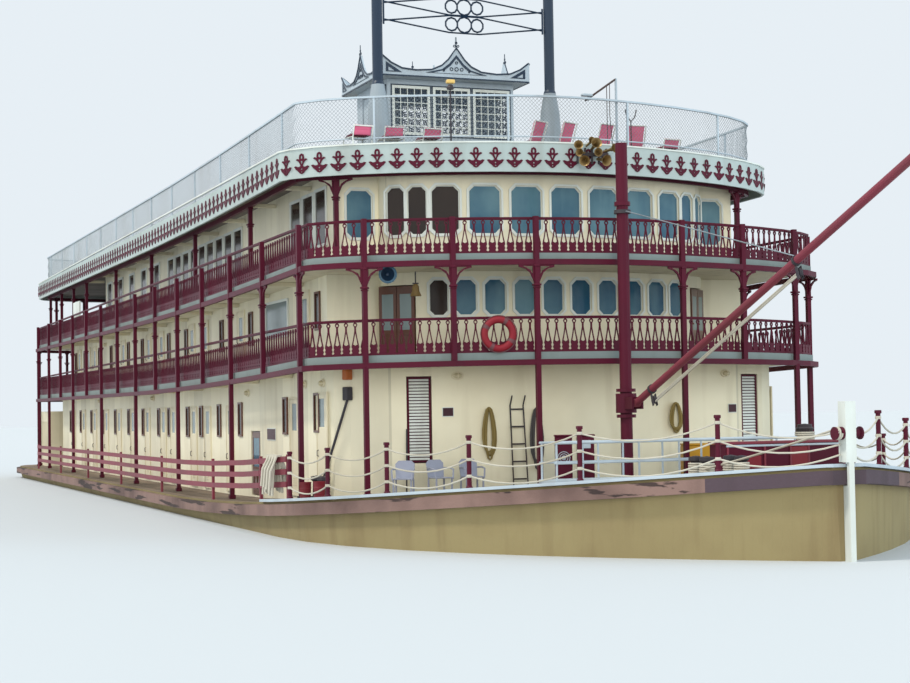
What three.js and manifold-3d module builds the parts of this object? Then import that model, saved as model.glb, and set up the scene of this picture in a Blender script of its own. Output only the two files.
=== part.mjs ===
// Stern-wheel river passenger steamer with three tiers of verandas, as a 1:2 scale model.
//
// Sizes and places are those of the full-size vessel, in metres. addPart brings each piece to the
// model's millimetres. The frame: +X forward, +Y to port, +Z up, z = 0 on the flat bottom.
// A station is given as "aft", the distance aft of the stem, because that is how a ship is measured.
// A level is given above the waterline, and the decks rise toward the bow by their sheer.

import * as THREE from 'three';
import { mergeVertices } from 'three/addons/utils/BufferGeometryUtils.js';
import Module from 'manifold-3d';

const wasm = await Module();
wasm.setup();

// Driving dimensions of the full-size vessel
const MILLIMETRES = 1000;
const MODEL_SCALE = 1 / 2;
const STEM_X = 33.5;
const DRAUGHT = 1.05;
const GAP = 0.004;
const DOOR_GAP = 0.02;

// Hull
const HULL_HALF_BEAM = 8.0;
const HULL_BOW_LENGTH = 13.2;
const HULL_BOW_POWER = 2.15;
const HULL_END = 62.4;
const FREEBOARD = 0.58;
const BOW_RISE = 1.27;
const BOW_RISE_LENGTH = 25;
const FLARE = 0.12;
const WHEEL_WELL_START = 58.7;
const WHEEL_WELL_HALF = 4.75;
const RAKE_START = 52.5;
const RAKE_TOP = 1.12;

// Sheer of the upper decks
const SHEER_RISE = 0.8;
const SHEER_LENGTH = 35.2;

// Verandas
const POST_PITCH = 3.56;
const FIRST_POST = 12.77;
const DECK_HALF = 7.43;
const DECK_APEX = 10.0;
const DECK_CORNER = 12.46;
const DECK_POWER = 1.6;
const DECK_STERN_START = 59.6;
const DECK_END = 62.6;
const POST_SIZE = 0.12;
const BEAM_DEPTH = 0.14;
const FRONT_POST_PITCH = 2.05;

// Levels above the waterline, before the sheer
const LEVEL = {
  beam2: 3.77,
  floor2: 4.1,
  beam3: 6.26,
  floor3: 6.57,
  fascia: 8.9,
  ceiling3: 9.2,
  roof: 9.6,
  fasciaTop: 9.68,
};
const RAIL_HEIGHT = 0.9;
const BALUSTER_PITCH = 1.78;
const WALL = 0.12;

// Roof deck
const ROOF_HALF = 7.3;
const ROOF_APEX = 11.9;
const ROOF_CORNER = 14.9;
const ROOF_POWER = 1.65;
const ROOF_OVERHANG = 0.5;

// Deckhouses
const HOUSE_FRONT = 14.4;
const BAY_HALF = 4.75;
const BAY_APEX = 12.8;
const BAY_CORNER = 14.2;
const HOUSE_1 = { half: 6.53, apex: 12.3, corner: 13.5, end: 57.2 };
const HOUSE_2 = { half: 6.2, end: 56 };
const HOUSE_3 = { half: 5.95, end: 48.4 };

// Mast and boom
const MAST_AFT = 9.5;
const MAST_RADIUS = 0.15;
const MAST_TOP = 9.67;
const BOOM_HEEL_LEVEL = 3.19;
const BOOM_HEEL_OUT = 0.55;
const BOOM_ANGLE = 21.4;
const BOOM_LENGTH = 13.0;
const BOOM_RADIUS = 0.09;

// Pilot house and funnels
const PILOT = { front: 21.1, back: 24.1, half: 2.1, base: 11.2, sill: 11.63, head: 13.05, top: 13.3 };
const FUNNEL = { aft: 19.9, side: 2.82, radius: 0.16, bell: 0.33, neck: 12.88, skirt: 11.7, top: 17.0 };

// Stern wheel
const WHEEL = { aft: 61.1, level: 1.42, radius: 2.05, half: 4.3, shaft: 0.16, floats: 12 };

// Colours from the photo
const COLOUR = {
  cream: [0xe9ddb8, 0.6, 0],
  hull: [0xd8c898, 0.6, 0],
  white: [0xe6ece9, 0.5, 0],
  maroon: [0x5a1a2c, 0.45, 0],
  red: [0xa31f30, 0.45, 0],
  timber: [0x6b5348, 0.85, 0],
  navy: [0x1d2a44, 0.4, 0.2],
  brown: [0x5b3a22, 0.5, 0],
  deck: [0x7f7a70, 0.9, 0],
  brass: [0xb5913c, 0.3, 1],
  iron: [0x33343a, 0.6, 0.5],
};

// Heights along the ship, straight between the same stations on every piece, so that stacked
// pieces meet without crossing
const BOW_STATIONS = [0, 0.4, 1, 1.8, 3, 4.4, 5.65, 7.4, 9.21, 10.99];
const SIDE_STATIONS = Array.from({ length: 15 }, (_, bay) => FIRST_POST + bay * POST_PITCH);
const LAST_RISING = 8;
const STATIONS = [...BOW_STATIONS, ...SIDE_STATIONS.slice(0, LAST_RISING)];

function straightBetweenStations(height) {
  return (aft) => {
    const next = STATIONS.findIndex((station) => station >= aft);
    if (next < 0) return height(aft);
    if (next === 0) return height(STATIONS[0]);
    const [before, after] = [STATIONS[next - 1], STATIONS[next]];
    const share = (aft - before) / (after - before);
    return height(before) * (1 - share) + height(after) * share;
  };
}

const risingCurve = (rise, length) => (aft) => rise * Math.max(0, 1 - aft / length) ** 2;
const sheer = straightBetweenStations(risingCurve(SHEER_RISE, SHEER_LENGTH));
const bowRise = straightBetweenStations(risingCurve(BOW_RISE, BOW_RISE_LENGTH));
const mainDeck = (aft) => DRAUGHT + FREEBOARD + bowRise(aft);
const upper = (level) => (aft) => DRAUGHT + level + sheer(aft);
const raised = (height, rise) => (aft) => height(aft) + rise;
// A level foot on the sloping deck clears its highest point, at the footprint's forward edge
const onDeck = (aft, reach) => mainDeck(aft - reach) + GAP;

// Solids: three.js makes the shapes, the library joins and cuts them
function solid(geometry) {
  const bare = geometry.clone();
  bare.deleteAttribute('normal');
  bare.deleteAttribute('uv');
  const merged = mergeVertices(bare, 1e-5);
  const points = merged.getAttribute('position').array;
  const mesh = new wasm.Mesh({
    numProp: 3,
    vertProperties: new Float32Array(points),
    triVerts: new Uint32Array(merged.index.array),
  });
  return new wasm.Manifold(mesh);
}

function put(geometry, x, y, z, turnX = 0, turnY = 0, turnZ = 0) {
  const matrix = new THREE.Matrix4().makeRotationFromEuler(new THREE.Euler(turnX, turnY, turnZ, 'ZYX'));
  matrix.setPosition(x, y, z);
  return geometry.applyMatrix4(matrix);
}

const box = (sizeX, sizeY, sizeZ, x, y, z, ...turns) =>
  solid(put(new THREE.BoxGeometry(sizeX, sizeY, sizeZ), x, y, z, ...turns));

// A box that stands on z
const block = (sizeX, sizeY, height, x, y, z, turnZ = 0) =>
  box(sizeX, sizeY, height, x, y, z + height / 2, 0, 0, turnZ);

// A round bar along Z, Y or X
const QUARTER = Math.PI / 2;
const rodZ = (radius, height, x, y, z, sides = 12, top = radius) =>
  solid(put(new THREE.CylinderGeometry(top, radius, height, sides), x, y, z + height / 2, QUARTER));
const rodY = (radius, length, x, y, z, sides = 12) =>
  solid(put(new THREE.CylinderGeometry(radius, radius, length, sides), x, y, z));
const rodX = (radius, length, x, y, z, sides = 12) =>
  solid(put(new THREE.CylinderGeometry(radius, radius, length, sides), x, y, z, 0, 0, QUARTER));

// A bar between two points
function bar(from, to, size, sides = 8) {
  const start = new THREE.Vector3(...from);
  const reach = new THREE.Vector3(...to).sub(start);
  const geometry = new THREE.CylinderGeometry(size / 2, size / 2, reach.length(), sides);
  const upright = new THREE.Vector3(0, 1, 0);
  const turn = new THREE.Quaternion().setFromUnitVectors(upright, reach.clone().normalize());
  const middle = start.addScaledVector(reach, 0.5);
  geometry.applyMatrix4(new THREE.Matrix4().compose(middle, turn, new THREE.Vector3(1, 1, 1)));
  return solid(geometry);
}

function turned(profile, x, y, z, sides = 20) {
  const points = profile.map(([radius, height]) => new THREE.Vector2(radius, height));
  return solid(put(new THREE.LatheGeometry(points, sides), x, y, z, QUARTER));
}

const join = (parts) => wasm.Manifold.union(parts);

// A plate whose outline is in the XZ plane, thick along Y
function plateXZ(outline, thickness, y) {
  const shape = new THREE.Shape(outline.map(([x, z]) => new THREE.Vector2(x, z)));
  const geometry = new THREE.ExtrudeGeometry(shape, { depth: thickness, bevelEnabled: false });
  return solid(put(geometry, 0, y + thickness / 2, 0, QUARTER));
}

// A loft through closed rings that all have the same number of points
function loft(rings) {
  const size = rings[0].length;
  const indices = [];
  for (let ring = 0; ring < rings.length - 1; ring += 1) {
    for (let point = 0; point < size; point += 1) {
      const a = ring * size + point;
      const b = ring * size + ((point + 1) % size);
      indices.push(a, b, b + size, a, b + size, a + size);
    }
  }
  const last = (rings.length - 1) * size;
  for (let point = 1; point < size - 1; point += 1) {
    indices.push(0, point + 1, point);
    indices.push(last, last + point, last + point + 1);
  }
  const geometry = new THREE.BufferGeometry();
  geometry.setAttribute('position', new THREE.Float32BufferAttribute(rings.flat(2), 3));
  geometry.setIndex(indices);
  return solid(geometry);
}

// Plan outlines: points { aft, half } from the bow to the stern
const NARROWEST = 0.03;

function bowCurve({ half, apex, corner, power }, steps = 8) {
  return Array.from({ length: steps + 1 }, (_, step) => {
    const angle = (step / steps) * QUARTER;
    return {
      aft: corner - (corner - apex) * Math.cos(angle) ** (2 / power),
      half: half * Math.sin(angle) ** (2 / power),
    };
  });
}

function sternCurve({ half, start, end, power }, steps = 5) {
  return Array.from({ length: steps + 1 }, (_, step) => {
    const angle = (step / steps) * QUARTER;
    return {
      aft: start + (end - start) * Math.sin(angle) ** (2 / power),
      half: half * Math.cos(angle) ** (2 / power),
    };
  });
}

// Moves an outline outward by a distance, negative inward
function offset(outline, distance) {
  return outline.map((point, index) => {
    const before = outline[Math.max(0, index - 1)];
    const after = outline[Math.min(outline.length - 1, index + 1)];
    const along = new THREE.Vector2(after.aft - before.aft, after.half - before.half).normalize();
    if (point.half < NARROWEST) {
      const ahead = index === 0 ? -distance : distance;
      return { aft: point.aft + ahead, half: 0 };
    }
    return { aft: point.aft - along.y * distance, half: point.half + along.x * distance };
  });
}

function withStations(outline) {
  const result = [];
  outline.forEach((point, index) => {
    result.push(point);
    const next = outline[index + 1];
    if (!next) return;
    for (const station of STATIONS) {
      if (station <= point.aft + 0.02 || station >= next.aft - 0.02) continue;
      const share = (station - point.aft) / (next.aft - point.aft);
      result.push({ aft: station, half: point.half + (next.half - point.half) * share });
    }
  });
  return result;
}

function slab(outline, bottom, top) {
  const rings = withStations(outline).map(({ aft, half }) => {
    const x = STEM_X - aft;
    const y = Math.max(half, NARROWEST / 2);
    return [[x, -y, bottom(aft)], [x, y, bottom(aft)], [x, y, top(aft)], [x, -y, top(aft)]];
  });
  return loft(rings.map((ring) => ring.toReversed()));
}

// A band that follows an outline between two offsets
function band(outline, outer, inner, bottom, top) {
  const whole = slab(offset(outline, outer), bottom, top);
  const hole = slab(offset(outline, inner), raised(bottom, -0.5), raised(top, 0.5));
  return whole.subtract(hole);
}

// Places along both sides of an outline at an even pitch: calls use(x, y, turn, aft)
function walk(outline, pitch, use) {
  const starboard = outline.map(({ aft, half }) => new THREE.Vector2(STEM_X - aft, -half));
  const lengths = starboard.slice(1).map((point, index) => point.distanceTo(starboard[index]));
  const length = lengths.reduce((sum, one) => sum + one, 0);
  const count = Math.round(length / pitch);
  for (let step = 0; step < count; step += 1) {
    let left = ((step + 0.5) * length) / count;
    let leg = 0;
    while (left > starboard[leg + 1].distanceTo(starboard[leg])) {
      left -= starboard[leg + 1].distanceTo(starboard[leg]);
      leg += 1;
    }
    const along = starboard[leg + 1].clone().sub(starboard[leg]).normalize();
    const place = starboard[leg].clone().addScaledVector(along, left);
    const turn = Math.atan2(along.y, along.x);
    use(place.x, place.y, turn, STEM_X - place.x);
    use(place.x, -place.y, -turn, STEM_X - place.x);
  }
}

const DECK_PLAN = [
  ...bowCurve({ half: DECK_HALF, apex: DECK_APEX, corner: DECK_CORNER, power: DECK_POWER }, 8),
  ...sternCurve({ half: DECK_HALF, start: DECK_STERN_START, end: DECK_END, power: 2.4 }),
];
const ROOF_PLAN = [
  ...bowCurve({ half: ROOF_HALF, apex: ROOF_APEX, corner: ROOF_CORNER, power: ROOF_POWER }, 8),
  ...sternCurve({ half: ROOF_HALF, start: DECK_STERN_START, end: DECK_END - 0.4, power: 2.4 }),
];

// The scene graph
const ship = new THREE.Group();
ship.name = 'river_steamer';

function addPart(name, body, colour) {
  const { vertProperties, triVerts, numProp } = body.getMesh();
  const geometry = new THREE.BufferGeometry();
  const points = [];
  for (let index = 0; index < vertProperties.length; index += numProp) {
    points.push(...vertProperties.slice(index, index + 3));
  }
  geometry.setAttribute('position', new THREE.Float32BufferAttribute(points, 3));
  geometry.setIndex(Array.from(triVerts));
  const toModel = MILLIMETRES * MODEL_SCALE;
  geometry.scale(toModel, toModel, toModel);
  geometry.computeVertexNormals();
  const [shade, roughness, metalness] = COLOUR[colour];
  const material = new THREE.MeshStandardMaterial({ color: shade, roughness, metalness });
  const mesh = new THREE.Mesh(geometry, material);
  mesh.name = name;
  ship.add(mesh);
}

// Hull: flat bottom, rounded bilge, vertical stem, and a wheel well open to the stern
const STEM_HALF = 0.16;

function hullHalf(aft) {
  const share = Math.min(1, aft / HULL_BOW_LENGTH);
  return STEM_HALF + (HULL_HALF_BEAM - STEM_HALF) * (1 - (1 - share) ** HULL_BOW_POWER);
}

const HULL_PLAN = withStations([
  ...[...BOW_STATIONS, FIRST_POST, HULL_BOW_LENGTH].map((aft) => ({ aft, half: hullHalf(aft) })),
  { aft: HULL_END - 1.6, half: HULL_HALF_BEAM },
  { aft: HULL_END - 0.5, half: HULL_HALF_BEAM - 0.35 },
  { aft: HULL_END, half: HULL_HALF_BEAM - 1.0 },
]);
const DECK_EDGE = HULL_PLAN.map(({ aft, half }) => ({ aft, half: half + FLARE }));

function makeHull() {
  const rings = HULL_PLAN.map(({ aft, half }) => {
    const x = STEM_X - aft;
    const edge = half + FLARE;
    const bilge = Math.min(0.35, half * 0.5);
    const knuckle = mainDeck(aft) - 0.42;
    const starboard = [
      [x, -(half - bilge), 0],
      [x, -(half - bilge * 0.3), bilge * 0.3],
      [x, -half, bilge],
      [x, -half, DRAUGHT],
      [x, -(half + FLARE * 0.5), knuckle],
      [x, -edge, mainDeck(aft)],
    ];
    const port = starboard.map(([px, py, pz]) => [px, -py, pz]).reverse();
    return [...starboard, ...port];
  });
  const shell = loft(rings);
  const wellLength = HULL_END + 1 - WHEEL_WELL_START;
  const well = block(wellLength, WHEEL_WELL_HALF * 2, 6, STEM_X - WHEEL_WELL_START - wellLength / 2, 0, -1);
  const rakeX = STEM_X - RAKE_START;
  const wellX = STEM_X - WHEEL_WELL_START;
  const rakeSide = [[rakeX, -0.5], [rakeX, 0], [wellX - 0.02, RAKE_TOP], [wellX - 0.02, -0.5]];
  const cuts = [well, plateXZ(rakeSide, WHEEL_WELL_HALF * 2, 0)];
  for (const y of RUDDER_SIDES) cuts.push(rodZ(RUDDER.tube, 1.35, STEM_X - RUDDER.stock, y, 0, 16));
  return shell.subtract(join(cuts));
}

const sideName = (side) => (side < 0 ? 'starboard' : 'port');

// Rudders under the raked stern, ahead of the wheel
const RUDDER = { tube: 0.13, stock: 57.3, front: 56.75, back: 58.5, top: 0.62, bottom: 0.1, thick: 0.08 };
const RUDDER_SIDES = [-2.9, 0, 2.9];

function makeRudder(y) {
  const { front, back, top, bottom, thick, stock } = RUDDER;
  const [ahead, astern] = [STEM_X - front, STEM_X - back];
  const upperEdge = [[ahead, top - 0.06], [ahead - 0.3, top], [astern, top + 0.1]];
  const blade = plateXZ([[ahead, bottom], ...upperEdge, [astern, bottom]], thick, y);
  return blade.add(rodZ(0.1, 1.1, STEM_X - stock, y, 0.2, 16));
}

// Rubbing strake and gunwale
function makeStrake() {
  const ring = band(DECK_EDGE, 0.17, GAP * 3, raised(mainDeck, -0.34), raised(mainDeck, -0.06));
  return ring.subtract(block(6, HULL_HALF_BEAM * 2 - 2.4, 4, STEM_X - WHEEL_WELL_START - 3, 0, 0));
}

// Stations of the fore deck's stanchions, on both sides
const STANCHIONS = { starboard: [1.5, 3.6, 5.7, 7.8, 9.9, 11.9], port: [1.1, 3.2, 5.3, 7.4, 9.5, 11.5] };

function edgeHalf(aft) {
  const next = DECK_EDGE.findIndex((point) => point.aft >= aft);
  const [before, after] = [DECK_EDGE[Math.max(0, next - 1)], DECK_EDGE[next]];
  if (after.aft === before.aft) return after.half;
  return before.half + ((after.half - before.half) * (aft - before.aft)) / (after.aft - before.aft);
}

function makeGunwale() {
  const cap = band(DECK_EDGE, 0.1, -0.16, raised(mainDeck, GAP), raised(mainDeck, 0.07));
  const forward = cap.intersect(block(15, 20, 6, STEM_X - 6.4, 0, 0));
  const parts = [forward];
  for (const [name, side] of [['starboard', -1], ['port', 1]]) {
    for (const aft of STANCHIONS[name]) {
      const y = side * (edgeHalf(aft) - 0.06);
      parts.push(rodZ(0.045, 1.15, STEM_X - aft, y, mainDeck(aft) + 0.03, 6));
    }
  }
  return join(parts);
}

// Stem post, let over the strake, with a heavier head that stands above the fore deck
function makeStemPost() {
  const top = DRAUGHT + 3.15;
  const deck = mainDeck(0);
  const bar = block(0.216, 0.12, deck + 0.2 - 0.05, STEM_X + GAP + 0.108, 0, 0.05);
  const notch = block(0.3, 0.5, 0.45, STEM_X - 0.01, 0, deck - 0.36);
  const head = block(0.26, 0.24, top - deck - 0.1, STEM_X + 0.09, 0, deck + 0.1);
  return bar.subtract(notch).add(head);
}

// Three-board rail along the side of the main deck
const PLANK_RAIL = { start: 14.6, end: 55.2, inset: 0.1, boards: [0.35, 0.66, 0.97] };

function makePlankRail(side) {
  const y = side * (HULL_HALF_BEAM + FLARE - PLANK_RAIL.inset);
  const parts = [];
  const within = (aft) => aft > PLANK_RAIL.start && aft < PLANK_RAIL.end;
  const bends = [PLANK_RAIL.start, ...STATIONS.filter(within), PLANK_RAIL.end];
  const everySecond = SIDE_STATIONS.filter((aft, bay) => within(aft) && bay % 2 === 0);
  const legs = [PLANK_RAIL.start, ...everySecond, PLANK_RAIL.end];
  for (const rise of PLANK_RAIL.boards) {
    const rings = bends.map((aft) => {
      const x = STEM_X - aft;
      const z = mainDeck(aft) + rise;
      return [[x, y - 0.02, z], [x, y - 0.02, z + 0.14], [x, y + 0.02, z + 0.14], [x, y + 0.02, z]];
    });
    parts.push(loft(rings));
  }
  for (const aft of legs) {
    parts.push(block(0.09, 0.07, 1.16, STEM_X - aft, y - side * 0.04, onDeck(aft, 0.1)));
  }
  return join(parts);
}

// Veranda posts: on the sides at even bays, across the front at an even pitch
const SIDE_POSTS = SIDE_STATIONS.slice(0, 14);
const FRONT_POSTS = [1, 2, 3].map((index) => index * FRONT_POST_PITCH);
const STERN_POSTS = [7.15, 5.6, 3.4, 1.1];

function frontAft(y, plan) {
  const next = plan.findIndex((point) => point.half >= Math.abs(y));
  const [before, after] = [plan[next - 1], plan[next]];
  return before.aft + ((after.aft - before.aft) * (Math.abs(y) - before.half)) / (after.half - before.half);
}

function sternAft(y, plan) {
  const last = plan.findLastIndex((point) => point.half >= Math.abs(y));
  const [before, after] = [plan[last], plan[last + 1]];
  return before.aft + ((after.aft - before.aft) * (before.half - Math.abs(y))) / (before.half - after.half);
}

function postPlaces({ plan, sideStations, frontSides, sternSides, half }) {
  const places = [];
  for (const side of [-1, 1]) {
    for (const aft of sideStations) places.push({ aft, y: side * half });
    for (const y of frontSides) places.push({ aft: frontAft(y, plan), y: side * y });
    for (const y of sternSides) places.push({ aft: sternAft(y, plan), y: side * y });
  }
  return places;
}

function makeFrame(places, plan, foot, head, above = 0.05) {
  const beam = band(plan, 0.05, -0.05, head, raised(head, BEAM_DEPTH));
  const parts = [beam];
  for (const place of places) {
    const x = STEM_X - place.aft;
    const height = head(place.aft) + above - foot(place.aft);
    parts.push(block(POST_SIZE, POST_SIZE, height, x, place.y, foot(place.aft)));
  }
  return join(parts);
}

function makeRailing(plan, floor) {
  const line = offset(plan, -0.18);
  const parts = [
    band(line, 0.035, -0.035, raised(floor, RAIL_HEIGHT - 0.06), raised(floor, RAIL_HEIGHT)),
    band(line, 0.02, -0.02, raised(floor, GAP), raised(floor, 0.24)),
  ];
  walk(line, BALUSTER_PITCH, (x, y, turn, aft) => {
    parts.push(block(0.12, 0.03, RAIL_HEIGHT - 0.25, x, y, floor(aft) + 0.21, turn));
  });
  return join(parts);
}

// Deckhouses: a main block with a rounded bay toward the bow
function houseSolid(inset, bottom, top, { half: houseHalf, end }) {
  const half = houseHalf - inset;
  const main = slab([{ aft: HOUSE_FRONT + inset, half }, { aft: end - inset, half }], bottom, top);
  const bay = slab(
    [
      ...bowCurve({ half: BAY_HALF - inset, apex: BAY_APEX + inset, corner: BAY_CORNER, power: 2 }, 8),
      { aft: HOUSE_FRONT + inset + 0.3, half: BAY_HALF - inset },
    ],
    bottom,
    top,
  );
  return main.add(bay);
}

// Eight-sided window cutter, through a wall whose outward side faces the turn
function windowCutter(width, height, x, y, z, turn) {
  const [w, h] = [width / 2, height / 2];
  const corner = Math.min(0.14, width * 0.25);
  const outline = [
    [-w + corner, -h], [w - corner, -h], [w, -h + corner], [w, h - corner],
    [w - corner, h], [-w + corner, h], [-w, h - corner], [-w, -h + corner],
  ];
  const shape = new THREE.Shape(outline.map(([across, up]) => new THREE.Vector2(across, up)));
  const geometry = new THREE.ExtrudeGeometry(shape, { depth: 0.8, bevelEnabled: false });
  geometry.translate(0, 0, -0.4);
  geometry.rotateX(QUARTER);
  return solid(put(geometry, x, y, z, 0, 0, turn));
}

const BAY_PLAN = bowCurve({ half: BAY_HALF, apex: BAY_APEX, corner: BAY_CORNER, power: 2 }, 40);

function bayWindows({ sides, width, height, middle, floor }) {
  return sides.flatMap((y) => {
    const aft = frontAft(Math.max(Math.abs(y), 0.01), BAY_PLAN);
    const beyond = frontAft(Math.min(Math.abs(y) + 0.05, BAY_HALF - 0.001), BAY_PLAN);
    const slope = Math.atan2(beyond - aft, 0.05) * Math.sign(y || 1);
    return [windowCutter(width(y), height, STEM_X - aft, y, floor(aft) + middle, QUARTER + slope)];
  });
}

const mirrored = (sides) => [...sides.map((side) => -side).reverse(), ...sides];

// Doors. The saloon's double doors are flat, across the bay's rounded corners
const SALOON_DOOR = { y: 4.52, width: 0.5, height: 1.9, thick: 0.05, inward: 0.1 };
const ENTRANCE = { aft: 20.6, width: 1.0, height: 1.85, thick: 0.05 };
const LOUVRE = [{ name: 'louvre_door_starboard', y: -4.33 }, { name: 'louvre_door_port', y: 5.53 }];
const LOUVRE_SIZE = { width: 0.62, height: 2.18, thick: 0.05, sill: 0.87 };

function makeHouse1() {
  const { half, apex, corner, end } = HOUSE_1;
  const bottom = raised(mainDeck, GAP);
  const top = upper(LEVEL.beam2 + BEAM_DEPTH);
  const plan = (inset) => [
    ...bowCurve({ half: half - inset, apex: apex + inset, corner, power: 2 }, 8),
    { aft: end - inset, half: half - inset },
  ];
  const outer = slab(plan(0), bottom, top);
  const inner = slab(plan(WALL), raised(bottom, -1), raised(top, 1));
  let body = outer.subtract(inner);
  for (const side of [-1, 1]) {
    const x = STEM_X - ENTRANCE.aft;
    const z = mainDeck(ENTRANCE.aft) + 0.05;
    const [w, h] = [ENTRANCE.width + 2 * DOOR_GAP, ENTRANCE.height + 2 * DOOR_GAP];
    body = body.subtract(block(w, 0.5, h, x, side * half, z));
  }
  for (const { y } of LOUVRE) {
    const place = louvrePlace(y);
    const [w, h] = [LOUVRE_SIZE.width + 2 * DOOR_GAP, LOUVRE_SIZE.height + 2 * DOOR_GAP];
    body = body.subtract(block(0.9, w, h, place.x, place.y, place.z - DOOR_GAP, place.turn));
  }
  return body;
}

const HOUSE_1_FRONT = bowCurve({ ...HOUSE_1, power: 2 }, 40);

const louvrePlace = (y) => wallPlace(y, HOUSE_1_FRONT, 0.06, (aft) => mainDeck(aft) + LOUVRE_SIZE.sill);

function makeUpperHouse(floor, top, size, windows, doorHeight) {
  const bottom = raised(floor, GAP);
  const outer = houseSolid(0, bottom, top, size);
  const inner = houseSolid(WALL, raised(bottom, -1), raised(top, 1), size);
  let body = outer.subtract(inner);
  for (const cutter of windows) body = body.subtract(cutter);
  if (!doorHeight) return body;
  for (const side of [-1, 1]) {
    const { x, y, z, turn } = saloonPlace(side);
    const width = SALOON_DOOR.width * 2 + 3 * DOOR_GAP;
    body = body.subtract(block(0.9, width, doorHeight + 2 * DOOR_GAP, x, y, z - DOOR_GAP, turn));
  }
  return body;
}

// The rounded bay is framed up apart from the house behind it, and meets it at the house's front
const bayOf = (house) => house.trimByPlane([1, 0, 0], STEM_X - HOUSE_FRONT + GAP);
const behindBay = (house) => house.trimByPlane([-1, 0, 0], -(STEM_X - HOUSE_FRONT));

// Doors as plain leaves, each in its own opening
function wallPlace(y, plan, inward, height) {
  const aft = frontAft(y, plan);
  const slope = (frontAft(Math.abs(y) + 0.05, plan) - frontAft(Math.abs(y) - 0.05, plan)) / 0.1;
  const turn = Math.atan(slope) * Math.sign(y);
  return { x: STEM_X - aft - inward * Math.cos(turn), y: y - inward * Math.sin(turn), z: height(aft), turn };
}

function saloonPlace(side) {
  const height = () => upper(LEVEL.floor2)(BAY_CORNER) + 0.07;
  return wallPlace(side * SALOON_DOOR.y, BAY_PLAN, SALOON_DOOR.inward, height);
}

// leaf is -1 for the one nearer the centreline and 1 for the outer one
function saloonLeaf(side, leaf) {
  const { width, height, thick } = SALOON_DOOR;
  const { x, y, z, turn } = saloonPlace(side);
  const across = side * leaf * (width / 2 + DOOR_GAP / 2);
  return block(thick, width, height, x - across * Math.sin(turn), y + across * Math.cos(turn), z, turn);
}

function entranceLeaf(side) {
  const { aft, width, height, thick } = ENTRANCE;
  const z = mainDeck(aft) + 0.05 + DOOR_GAP;
  return block(width, thick, height, STEM_X - aft, side * (HOUSE_1.half - WALL / 2), z);
}

function louvreLeaf(y) {
  const place = louvrePlace(y);
  const { width, height, thick } = LOUVRE_SIZE;
  return block(thick, width, height, place.x, place.y, place.z, place.turn);
}

// Fore deck fittings
function makeMast() {
  const foot = onDeck(MAST_AFT, 0.4);
  const x = STEM_X - MAST_AFT;
  const height = DRAUGHT + MAST_TOP - foot;
  return join([
    rodZ(MAST_RADIUS, height, x, 0, foot, 12),
    rodZ(0.32, 0.12, x, 0, foot, 12),
    rodZ(0.24, 0.08, x, 0, DRAUGHT + BOOM_HEEL_LEVEL - 0.36, 12),
    rodZ(0.24, 0.08, x, 0, DRAUGHT + BOOM_HEEL_LEVEL + 0.28, 12),
    rodZ(0.2, 0.1, x, 0, DRAUGHT + 8.1, 12),
  ]);
}

const BOOM_HEEL = [STEM_X - MAST_AFT + BOOM_HEEL_OUT, 0, DRAUGHT + BOOM_HEEL_LEVEL];

function makeSwivel() {
  const [x, , z] = BOOM_HEEL;
  const mastX = STEM_X - MAST_AFT;
  const low = z - 0.24;
  const collar = rodZ(0.26, 0.48, mastX, 0, low, 20);
  const arms = [-1, 1].map((side) => block(0.42, 0.05, 0.3, mastX + 0.42, side * 0.13, z - 0.15));
  const bore = rodZ(MAST_RADIUS + 0.02, 2, mastX, 0, low - 1, 20);
  return join([collar, ...arms]).subtract(bore);
}

function makeBoom() {
  const [x, y, z] = BOOM_HEEL;
  const slope = THREE.MathUtils.degToRad(BOOM_ANGLE);
  const tip = [x + BOOM_LENGTH * Math.cos(slope), y, z + BOOM_LENGTH * Math.sin(slope)];
  const along = (share) => [x + (tip[0] - x) * share, y, z + (tip[2] - z) * share];
  const heel = rodY(0.1, 0.18, x, y, z, 12);
  const pole = bar(along(0), tip, BOOM_RADIUS * 2, 14);
  const [bx, , bz] = along(0.985);
  return join([heel, pole, box(0.16, 0.06, 0.34, bx, 0, bz - 0.14)]);
}

const STAGE = { aft: 8.35, width: 0.95, from: -2.7, to: 3.9, rail: 0.95 };

function makeLandingStage() {
  const { aft, width, from, to, rail } = STAGE;
  const x = STEM_X - aft;
  const length = to - from;
  const middle = (from + to) / 2;
  const z = mainDeck(aft) + 0.18;
  const parts = [block(width, length, 0.08, x, middle, z)];
  for (const side of [-1, 1]) {
    const rx = x + side * (width / 2 - 0.05);
    parts.push(rodY(0.03, length, rx, middle, z + rail, 6));
    parts.push(rodY(0.025, length, rx, middle, z + rail / 2, 6));
    for (let step = 0; step <= 6; step += 1) {
      const y = from + 0.06 + (step / 6) * (length - 0.12);
      parts.push(rodZ(0.028, rail, rx, y, z, 6));
    }
  }
  const foot = onDeck(aft, 0.5);
  for (const y of [from + 0.7, to - 0.7]) parts.push(block(width, 0.12, z + 0.04 - foot, x, y, foot));
  return join(parts);
}

// Pilot house on the top deck, with its base house, latticed windows and flared roof
const PILOT_DOOR = { width: 0.8, height: 1.75, thick: 0.05 };
const pilotDoorX = () => STEM_X - PILOT.back + 0.95;
const pilotDoorZ = () => DRAUGHT + PILOT.base + 0.08 + PILOT_DOOR.height / 2;

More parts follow.
